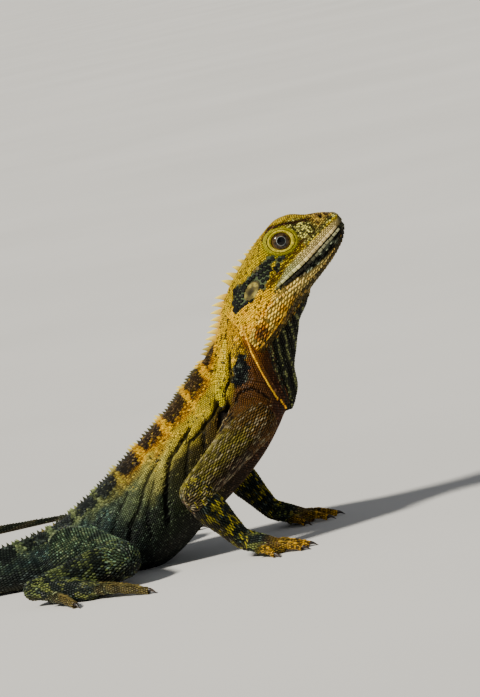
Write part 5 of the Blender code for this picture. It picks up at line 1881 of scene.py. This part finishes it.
def fold_beads(coat, surface):
    """Chains of bright beads, down the fold from jaw to chest and along the throat behind the jaw."""
    for sign, fold in ((-1, JAW_FOLD), (1, JAW_FOLD), (-1, THROAT_CHAIN), (1, THROAT_CHAIN)):
        path = catmull([(x, y * sign, z) for x, z, y in fold], 8)
        arc = arc_of(path)
        rows = np.arange(0.8, arc[-1] - 0.8, 0.95)
        line = on_line(path, arc, rows)
        at, out, _ = surface.under(line + (0, 2.2 * sign, 0))
        col = mix(colour(246, 196, 30), colour(206, 124, 4), draw.uniform(0, 0.8, len(rows)))
        place = layout_spot(LAYOUT["pouch"], rows / arc[-1], np.full(len(rows), 0.9))
        coat.add(BEAD, at, out, np.gradient(line, axis=0), (1.15, 0.9, 0.62), col, place)


def crest_plan():
    """Distance along the body and height of each spine of the crest behind the head."""
    plan = list(CREST_ON_NECK)
    plan += [(s, 1.75 * draw.uniform(0.8, 1.25)) for s in np.arange(42.0, BODY.vent, 1.9)]
    for along in np.arange(0.0, 190.0, 2.4):
        plan.append((BODY.vent + along, 1.7 * (1 - 0.6 * along / 190.0) * draw.uniform(0.85, 1.15)))
    return np.array(plan)


CREST_YELLOW = colour(250, 230, 96)


def crest(coat, surface):
    """The crest, with high spines on head and neck and low ones down the back and tail."""
    plan = crest_plan()
    top = BODY.skin(plan[:, 0], np.zeros(len(plan)))
    at = surface.under(top)[0]
    at[:, 1] = top[:, 1]
    s, high = plan.T
    back, _, up = BODY.axes(s)
    pale = mix(CREST_YELLOW, colour(156, 168, 106), ease(84, 130, s))
    dark = ease(1.8, 3.4, band_distance(s, np.zeros(len(s)))) * ease(34, 42, s)
    dark = np.maximum(dark, ease(27, 30, s) * (1 - ease(36, 38, s)) * 0.6)
    tip = mix(pale, colour(34, 36, 30), dark * 0.9)
    root = mix(all_over(len(plan), 222, 156, 4), colour(20, 20, 15), dark)
    root = mix(root, colour(70, 84, 40), ease(90, 130, s) * (1 - dark))
    high = high * (1 + 0.5 * (1 - dark) * ease(40, 46, s) * (1 - ease(110, 130, s)))
    broad = np.interp(high, (1, 2, 5), (1.5, 2.3, 3.7))
    size = np.c_[broad, broad * 0.5, high + 0.45]
    place = layout_spot(LAYOUT["trunk"], s / BODY.length, np.full(len(s), 0.004))
    big = high > 2.4
    for form, some in ((SPINE, big), (SPIKE, ~big)):
        coat.add(form, at[some], up[some], back[some], size[some], root[some], place[some], tip[some], 0.6)
    xs, high = np.array(CREST_ON_HEAD).T
    top = head_to_model(np.c_[xs, 0 * xs, pchip(HEAD_X, CROWN_Z, xs)])
    at, out, _ = surface.under(top)
    at[:, 1] = 0
    back = backwards(len(xs), 0)
    broad = np.interp(high, (0.5, 2, 5), (1.1, 2.3, 3.7))
    roots = all_over(len(xs), 198, 154, 0)
    size = np.c_[broad, broad * 0.5, high + 0.4]
    coat.add(SPINE, at, out, back, size, roots, head_spot(xs, 0.0), CREST_YELLOW, 0.6)


def claw_pieces(material):
    """Curved dark claws, one form copied to every digit and joined."""
    root = CLAW_ROOT * 0.92 * MM
    bpy.ops.mesh.primitive_circle_add(vertices=10, radius=root, fill_type="NGON", location=(0, 0, 0))
    obj = bpy.context.active_object
    obj.name = "claws"
    edit(obj)
    bpy.ops.mesh.select_all(action="SELECT")
    left = 1.0
    for k in range(6):
        new = (1 - (k + 1) / 6.4) ** 0.8
        move = (0, (0.1 - 0.16 * k) * MM, CLAW_LONG * 0.95 / 6 * MM)
        drawn_out(move, (new / left * 0.99, new / left, 1))
        left = new
    bpy.ops.object.mode_set(mode="OBJECT")
    local = np.array([v.co for v in obj.data.vertices]) / MM
    faces = [tuple(f.vertices) for f in obj.data.polygons]
    bpy.data.objects.remove(obj)
    points, all_faces = [], []
    for end, ahead in FLESH.claws:
        up = np.array((0, 0, 1.0))
        across = np.cross(up, ahead)
        base = end - ahead * 0.5 + up * 0.35
        p = base + local[:, :1] * across + local[:, 1:2] * up + local[:, 2:] * ahead
        p[:, 2] = np.maximum(p[:, 2], 0.02)
        start = len(points) * len(local)
        points.append(p)
        all_faces += [tuple(start + i for i in f) for f in faces]
    mesh = bpy.data.meshes.new("claws")
    mesh.from_pydata(placed(np.vstack(points)).tolist(), [], all_faces)
    claws = linked("claws", mesh)
    edit(claws)
    bpy.ops.mesh.select_all(action="SELECT")
    bpy.ops.mesh.normals_make_consistent(inside=False)
    bpy.ops.object.mode_set(mode="OBJECT")
    mesh.shade_smooth()
    return dressed(claws, material, "limb_skin")


# Distance from the eye's middle within which only the beads of the lids stand.
LID_REACH = 7.3


def keep_on_head(at, h):
    """Where ordinary head scales may stand: off the eyes, ears, nostrils and lips."""
    keep = np.ones(len(at), bool)
    for side in ("right", "left"):
        far, high = round_eye(at, side, lid_tall(LID_REACH))
        keep &= ~((far < LID_REACH) & (high > 0))
        centre, axes = ear_frame(side)
        local = (at - centre) @ axes.T
        far = np.hypot(local[:, 0] / EAR_SIZE[0], local[:, 1] / EAR_SIZE[1])
        keep &= ~((far < 1.08) & (np.abs(local[:, 2]) < 4))
        keep &= np.linalg.norm(at - head_to_model(sided(NOSTRIL_AT, side)), axis=1) > 1.25
    lip = over_mouth(h)
    shrink = lip_shrink(h[:, 0])
    on_lips = (lip > -1.75 * shrink) & (lip < 4.2 * shrink) & (h[:, 0] > MOUTH_BACK_X + 1.5)
    return keep & ~on_lips


def head_coat(coat, surface, crowd):
    """Fine grains on crown and muzzle, big grains in the dark net, long keeled scales along the jaw."""
    piece, box = FLESH.all[HEAD_INDEX], LAYOUT["head"]
    plan = (
        (1.95, 1.95, GRANULE, (2.46, 2.34, 0.75), 1.05, lambda x, lip, net: net & (lip > -1.6)),
        (0.86, 0.88, GRANULE, (1.06, 0.92, 0.42), 0.6, lambda x, lip, net: ~net & (lip > -1.6)),
        (1.85, 1.5, KEELED_SIX, (2.5, 1.45, 0.95), 1.0, lambda x, lip, net: ~net & (lip < -1.7) & (x < 49)),
    )
    for along_pitch, round_pitch, form, size, room, chosen in plan:
        at, out, along, row, spot, h, lip, keep = head_rows(surface, along_pitch, round_pitch)
        keep &= chosen(h[:, 0], lip, in_net(at))
        keep &= crowd_free(crowd, at, keep, room)
        shrink = np.interp(h[:, 0], (20, 48), (1.0, 0.7)) if form is KEELED_SIX else np.ones(len(at))
        sizes = np.array(size)[None] * shrink[:, None]
        place_scales(coat, form, piece, at, out, along, keep, row, spot, box, sizes)


def crowd_free(crowd, at, keep, room):
    ok = np.zeros(len(at), bool)
    index = np.flatnonzero(keep)
    ok[index] = crowd.free(at[index], room)
    return ok


def place_scales(coat, form, piece, at, out, along, keep, row, spot, box, size, s=None):
    at, out, along = at[keep], out[keep], along[keep]
    n = len(at)
    if n == 0:
        return
    col = marking(piece, at, out, np.zeros(n) if s is None else s[keep])
    col = flecked(col, 0.1 if s is None else np.interp(s[keep], (30, 40), (0.1, 0.045)))
    size = np.broadcast_to(np.asarray(size, float), (len(keep), 3))[keep] * draw.uniform(0.88, 1.12, (n, 1))
    coat.add(form, at, out, along, size, col, layout_spot(box, row[keep], spot[keep]))


def in_net(at):
    return stripe_mask(model_to_head(at), at) > 0.5


def head_rows(surface, pitch_along, pitch_round):
    """Rows of places over the head set on the skin, with height over the mouth line."""
    at, along, row, spot = staggered(head_to_model(head_rings(0.5)), pitch_along, pitch_round)
    at, out, far = surface.under(at)
    h = model_to_head(at)
    lip = over_mouth(h)
    keep = (far < 1.5) & keep_on_head(at, h)
    return at, out, along, row, spot, h, lip, keep


def body_coat(coats, surface, crowd):
    """Neck, back, flanks, belly and tail."""
    piece = FLESH.all[BODY_INDEX]
    theta = np.arange(96) * 2 * math.pi / 96
    spans = (
        ("net", 3.0, NET_END, 1.6, 1.6, (2.04, 1.92, 0.7)),
        ("neck", 3.0, 40.0, 0.85, 0.88, (1.25, 0.9, 0.48)),
        ("trunk", 40.0, TRUNK_END, 0.92, 0.9, (1.42, 0.94, 0.5)),
        ("tail", TRUNK_END, BODY.length - 1.0, 1.45, 1.15, (2.1, 1.15, 0.6)),
    )
    for name, start, end, pitch, round_pitch, size in spans:
        s_list = np.arange(start, end, 1.0)
        rings = BODY.skin(s_list[:, None], theta[None, :])
        at, along, row, spot = staggered(rings, pitch, round_pitch)
        skin_at, out, far = surface.under(at)
        s = start + row * (end - start)
        angle = np.abs((spot + 0.5) % 1 - 0.5) * 2 * math.pi
        pit = (s > 40) & (s < 84) & (angle > 1.1)
        keep = (far < np.where(pit, LOOSE_REACH, COAT_REACH)) & (skin_at[:, 2] > FLOOR_GAP)
        if name in ("net", "neck"):
            keep &= in_net(skin_at) == (name == "net")
        keep &= crowd_free(crowd, skin_at, keep, 0.55 * pitch)
        box = LAYOUT["tail" if name == "tail" else "trunk"]
        belly = (angle > 2.0) & (name != "neck")
        thin = np.where(s > 330, np.interp(s, (330, 588), (1.0, 0.5)), 1.0)
        sizes = np.array(size)[None] * (np.where(belly, 1.05, 1.0) * thin)[:, None]
        sizes[:, 2] *= np.where(angle < 0.9, 1.35, np.where(belly, 0.6, 0.9))
        share = s / BODY.vent if name != "tail" else (s - TRUNK_END) / (BODY.length - TRUNK_END)
        form = GRANULE if name == "net" else KEELED
        for target, chosen in coats["neck" if name == "net" else name]:
            mine = keep & chosen(spot)
            place_scales(target, form, piece, skin_at, out, along, mine, share, spot, box, sizes, s)


# For each kind of length the pitch along and round, and the scales' length, width and height.
LIMB_SCALES = {
    "upper_arm": (1.6, 1.25, (2.7, 0.98, 0.85)), "forearm": (1.5, 1.2, (2.4, 1.0, 0.8)),
    "hand": (1.15, 1.15, (1.5, 1.1, 0.45)), "finger": (1.1, 1.0, (1.35, 0.96, 0.36)),
    "thigh": (1.5, 1.4, (2.1, 1.35, 0.75)), "shank": (1.45, 1.35, (2.0, 1.25, 0.7)),
    "foot": (1.25, 1.2, (1.6, 1.15, 0.45)), "toe": (1.15, 1.05, (1.4, 1.0, 0.38)),
}


LIMB_BOXES_IN_COLUMN = 7


def limb_coat(coats, surface, crowd):
    """Scales of arms and legs. Each length of them has a box of its own on the flat layout."""
    count = 0
    for f in FLESH.all:
        if f["name"] not in LIMB_SCALES:
            continue
        column, line = divmod(count, LIMB_BOXES_IN_COLUMN)
        box = (0.45 + 0.135 * column, 0.01 + 0.07 * line, 0.125, 0.06)
        count += 1
        target = coats["paws" if f["name"] in ("hand", "finger", "foot", "toe") else "limbs"]
        if f["name"] in ("finger", "toe"):
            digit_plates(target, f, surface, crowd, box)
        pitch, round_pitch, size = LIMB_SCALES[f["name"]]
        at, along, row, spot = staggered(f["rings"], pitch, round_pitch, 0.05)
        skin_at, out, far = surface.under(at)
        keep = (far < LOOSE_REACH) & (skin_at[:, 2] > FLOOR_GAP)
        keep &= crowd_free(crowd, skin_at, keep, 0.5 * pitch)
        place_scales(target, KEELED_SIX, f, skin_at, out, along, keep, row, spot, box, size)


def digit_plates(coat, f, surface, crowd, box):
    """One row of broad scales along the top of a finger or toe."""
    path = f["rings"].mean(axis=1)
    radius = np.linalg.norm(f["rings"] - path[:, None], axis=2).mean(axis=1)
    arc = arc_of(path)
    rows = np.arange(1.2, arc[-1] - 0.3, 1.45)
    line = on_line(path, arc, rows)
    wide = np.interp(rows / arc[-1], (0, 1), (2.8, 1.8))
    at, out, _ = surface.under(line + (0, 0, 3.0))
    own = np.abs(at[:, 2] - line[:, 2] - np.interp(rows, arc, radius)) < 0.7
    keep = crowd_free(crowd, at, own, 0.7)
    crowd.block(at[keep], 0.9)
    ahead = np.gradient(line, axis=0)
    size = np.c_[np.full(len(rows), 1.65), wide, np.full(len(rows), 0.5)]
    place_scales(coat, BEAD, f, at, out, ahead, keep, rows / arc[-1], np.full(len(rows), 0.5), box, size)


def pouch_coat(coat, surface, crowd):
    for f in FLESH.all:
        if f["name"] not in ("pouch", *FOLDS):
            continue
        pitch, size = (1.05, (1.25, 0.9, 0.36)) if f["name"] == "pouch" else (1.0, (1.3, 0.95, 0.45))
        at, along, row, spot = staggered(f["rings"], pitch, pitch)
        skin_at, out, far = surface.under(at)
        keep = far < 1.2
        keep &= crowd_free(crowd, skin_at, keep, 0.55)
        place_scales(coat, GRANULE, f, skin_at, out, along, keep, row, spot, LAYOUT["pouch"], size)


def band_spines(coat, surface):
    """Enlarged spiny scales: rows along the pale bands, and smaller ones scattered over the back."""
    rows_s, rows_a, high = [], [], []
    for place in ALL_BANDS[:SPINY_BANDS]:
        for angle in np.arange(0.08, 1.15, 0.085):
            for sign in (-1, 1):
                slant = (3.0 if place < 60 else -4.5) * angle
                for shift in (-1.6, -0.4, 0.8, 2.0):
                    if draw.uniform() < 0.85 and abs(shift) < 0.9 + 2.2 * angle:
                        rows_s.append(place + slant + shift + draw.uniform(-0.5, 0.5))
                        rows_a.append(sign * (angle + draw.uniform(-0.03, 0.03)))
                        high.append(draw.uniform(0.8, 1.7) * (1.5 - 1.1 * min(angle, 0.8)))
    for s in np.arange(28.0, 172.0, 1.1):
        for sign in (-1, 1):
            for angle in draw.uniform(0.06, 0.85, 3):
                rows_s.append(s + draw.uniform(-0.6, 0.6))
                rows_a.append(sign * angle)
                high.append(draw.uniform(0.6, 1.35))
    s, a, high = np.array(rows_s), np.array(rows_a), np.array(high)
    at, out, far = surface.under(BODY.skin(s, a))
    keep = far < COAT_REACH
    s, a, high, at, out = s[keep], a[keep], high[keep], at[keep], out[keep]
    back = BODY.axes(s)[0]
    root = flecked(body_marking(at, s, a))
    lift = np.interp(root.max(axis=1), (0.02, 0.3), (0.03, 0.4)) + 0.3 * (draw.uniform(0, 1, len(s)) > 0.84)
    bright = mix(colour(236, 194, 24), colour(150, 158, 96), ease(100, 124, s))
    tip = mix(np.minimum(root * 1.2, 0.9), bright, lift)
    size = np.c_[1.6 + 0.5 * high, 1.1 + 0.2 * high, high]
    coat.add(SPIKE, at, out, back, size, root * 0.7, trunk_spot(s, a), tip)


# Places where small spines crowd, in the head's frame or as distance along and angle: spread and number.
CLUSTERS_ON_HEAD = [((-2.0, -3.0), 5.5, 20), ((3.0, -1.5), 4.5, 12), ((-7.5, -4.0), 3.0, 12)]
CLUSTERS_ON_NECK = [((24.0, 1.2), 1.8, 14), ((33.0, 1.3), 1.2, 8), ((19.0, 1.5), 4.0, 12)]


def cluster_spines(coat, surface):
    for (x, z), spread, count in CLUSTERS_ON_HEAD:
        for side in (-1, 1):
            xs = x + draw.normal(0, spread * 0.5, count)
            zs = z + draw.normal(0, spread * 0.4, count)
            at, out, _ = surface.under(head_to_model(np.c_[xs, np.full(count, 17.0 * side), zs]))
            high = draw.uniform(0.5, 1.1, count)
            size = np.c_[1.6 + 0.5 * high, 1.1 + 0.15 * high, high]
            root = head_marking(at)
            tip = mix(root, colour(250, 206, 60), 0.4)
            coat.add(SPIKE, at, out, backwards(count, 0.15), size, root, head_spot(xs, 0.3), tip)
    for (s, a), spread, count in CLUSTERS_ON_NECK:
        for side in (-1, 1):
            ss = s + draw.normal(0, spread * 0.5, count)
            aa = side * (a + draw.normal(0, spread * 0.03, count))
            at, out, _ = surface.under(BODY.skin(ss, aa))
            high = draw.uniform(0.7, 1.7, count)
            size = np.c_[1.3 + 0.5 * high, 1.0 + 0.12 * high, high]
            root = body_marking(at, ss, aa)
            tip = colour(246, 206, 70)
            coat.add(SPIKE, at, out, BODY.axes(ss)[0], size, root, trunk_spot(ss, aa), tip)


# Places of spines on the rear flank, as distances along and angles.
FLANK_SPINES = [
    (112, 1.5), (118, 1.75), (124, 1.6), (108, 1.95), (116, 2.05), (126, 1.95), (100, 1.75), (132, 1.4),
    (104, 1.6),
]


def flank_spines(coat, surface):
    """Small pale spines scattered over the rear flank."""
    more = np.c_[draw.uniform(94, 146, 24), draw.uniform(1.1, 1.9, 24)]
    s, a = np.vstack([FLANK_SPINES, more]).T
    s, a = np.r_[s, s + 2.0], np.r_[-a, a]
    at, out, far = surface.under(BODY.skin(s, a))
    keep = far < 0.9
    s, a, at, out = s[keep], a[keep], at[keep], out[keep]
    wide = draw.uniform(0.8, 1.3, len(s))
    root = body_marking(at, s, a)
    size = np.c_[wide * 1.2, wide * 0.6, wide * 0.6]
    tip = mix(root, colour(112, 128, 92), 0.6)
    coat.add(SPIKE, at, out, BODY.axes(s)[0], size, root, trunk_spot(s, a), tip)


FLESH_NODES = [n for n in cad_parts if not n.startswith(("eye_", "ear_"))]


def build_model():
    skin, points, normals = make_skin()
    surface = Surface(skin.data, points, normals)
    dressed(skin, skin_finish(), "body_skin", *FLESH_NODES)
    crowd = Crowd()
    scales = scale_finish("keeled scales")
    soft = scale_finish("face grains", 0.14, 0.5, 0.12)
    spiny = scale_finish("spines", 0.8, 0.44, 0.2)
    head = Coat("head_scales")
    lips = Coat("lip_and_lid_plates")
    lip_plates(lips, surface)
    lid_beads(lips)
    nostril_beads(lips, surface)
    jaw_chain(lips, surface)
    fold_beads(lips, surface)
    head_coat(head, surface, crowd)
    neck = Coat("neck_scales")
    right, left = Coat("trunk_scales_right"), Coat("trunk_scales_left")
    tail = Coat("tail_scales")
    pouch = Coat("pouch_scales")
    pouch_coat(pouch, surface, crowd)
    coats = {
        "neck": [(neck, lambda spot: spot >= 0)],
        "trunk": [(left, lambda spot: spot < 0.5), (right, lambda spot: spot >= 0.5)],
        "tail": [(tail, lambda spot: spot >= 0)],
    }
    body_coat(coats, surface, crowd)
    limbs, paws = Coat("limb_scales"), Coat("hand_and_foot_scales")
    limb_coat({"limbs": limbs, "paws": paws}, surface, crowd)
    spines = Coat("crest_and_spines")
    crest(spines, surface)
    band_spines(spines, surface)
    cluster_spines(spines, surface)
    flank_spines(spines, surface)
    plan = (
        (head, soft, False, "head_skin"),
        (lips, soft, True, "head_skin"),
        (neck, scales, False, "neck_skin"),
        (right, scales, False, "body_skin"),
        (left, scales, False, "body_skin"),
        (tail, scales, False, "tail_skin"),
        (pouch, scales, False, "pouch_skin"),
        (limbs, scales, False, "limb_skin"),
        (paws, scales, False, "limb_skin"),
        (spines, spiny, False, "neck_skin"),
    )
    for coat, material, smooth, slot in plan:
        dressed(coat.made(material, smooth), None, slot)
    eye, drum = eye_finish(), drum_finish()
    for side in ("right", "left"):
        eyeball(side, eye)
        ear_drum(side, drum)
        lid(side, soft)
    claw_pieces(horn_finish("claw horn", (16, 12, 9), (58, 42, 26), 0.3))


def make_sun(name, towards, strength, angle_deg, tone):
    """A soft far lamp, so that the floor is lit evenly. towards points from the model to the lamp."""
    data = bpy.data.lights.new(name, "SUN")
    data.energy = strength
    data.angle = math.radians(angle_deg)
    data.color = tone
    lamp = linked(name, data)
    lamp.matrix_world = Vector(towards).to_track_quat("Z", "Y").to_matrix().to_4x4()


# Stage

# The camera's place, as turns from straight in front of the animal's right side.
VIEW_ROLL = math.radians(12)
VIEW_ELEVATION = math.radians(6)
VIEW_AZIMUTH = math.radians(6)
VIEW_DISTANCE = 1.667
VIEW_MIDDLE = (0.0, 0.0, 85.0)


def make_camera():
    right = Vector((math.cos(VIEW_AZIMUTH), math.sin(VIEW_AZIMUTH), 0))
    back = Vector(
        (
            math.sin(VIEW_AZIMUTH) * math.cos(VIEW_ELEVATION),
            -math.cos(VIEW_AZIMUTH) * math.cos(VIEW_ELEVATION),
            math.sin(VIEW_ELEVATION),
        )
    )
    up = back.cross(right)
    rolled = right * math.cos(VIEW_ROLL) - up * math.sin(VIEW_ROLL)
    top = right * math.sin(VIEW_ROLL) + up * math.cos(VIEW_ROLL)
    data = bpy.data.cameras.new("view")
    data.lens = 200
    data.sensor_width = 36
    data.sensor_fit = "AUTO"
    camera = linked("view", data)
    matrix = Matrix((rolled, top, back)).transposed().to_4x4()
    matrix.translation = Vector(placed(VIEW_MIDDLE)) + back * VIEW_DISTANCE
    camera.matrix_world = matrix
    bpy.context.scene.camera = camera


def make_stage():
    bpy.ops.object.select_all(action="DESELECT")
    bpy.ops.mesh.primitive_grid_add(x_subdivisions=12, y_subdivisions=12, size=400, location=(0, 0, 0))
    floor = bpy.context.active_object
    floor.name = "floor"
    floor.data.materials.append(floor_finish())
    make_sun("key", (-0.62, -0.5, 0.72), 5.3, 8, (1.0, 0.96, 0.87))
    make_sun("fill", (0.8, -0.9, 0.35), 0.38, 60, (0.85, 0.92, 1.0))
    world = bpy.data.worlds.new("studio")
    bpy.context.scene.world = world
    world.use_nodes = True
    world.node_tree.nodes["Background"].inputs[0].default_value = (0.9, 0.93, 1.0, 1)
    world.node_tree.nodes["Background"].inputs[1].default_value = 0.19


build_model()
make_stage()
make_camera()
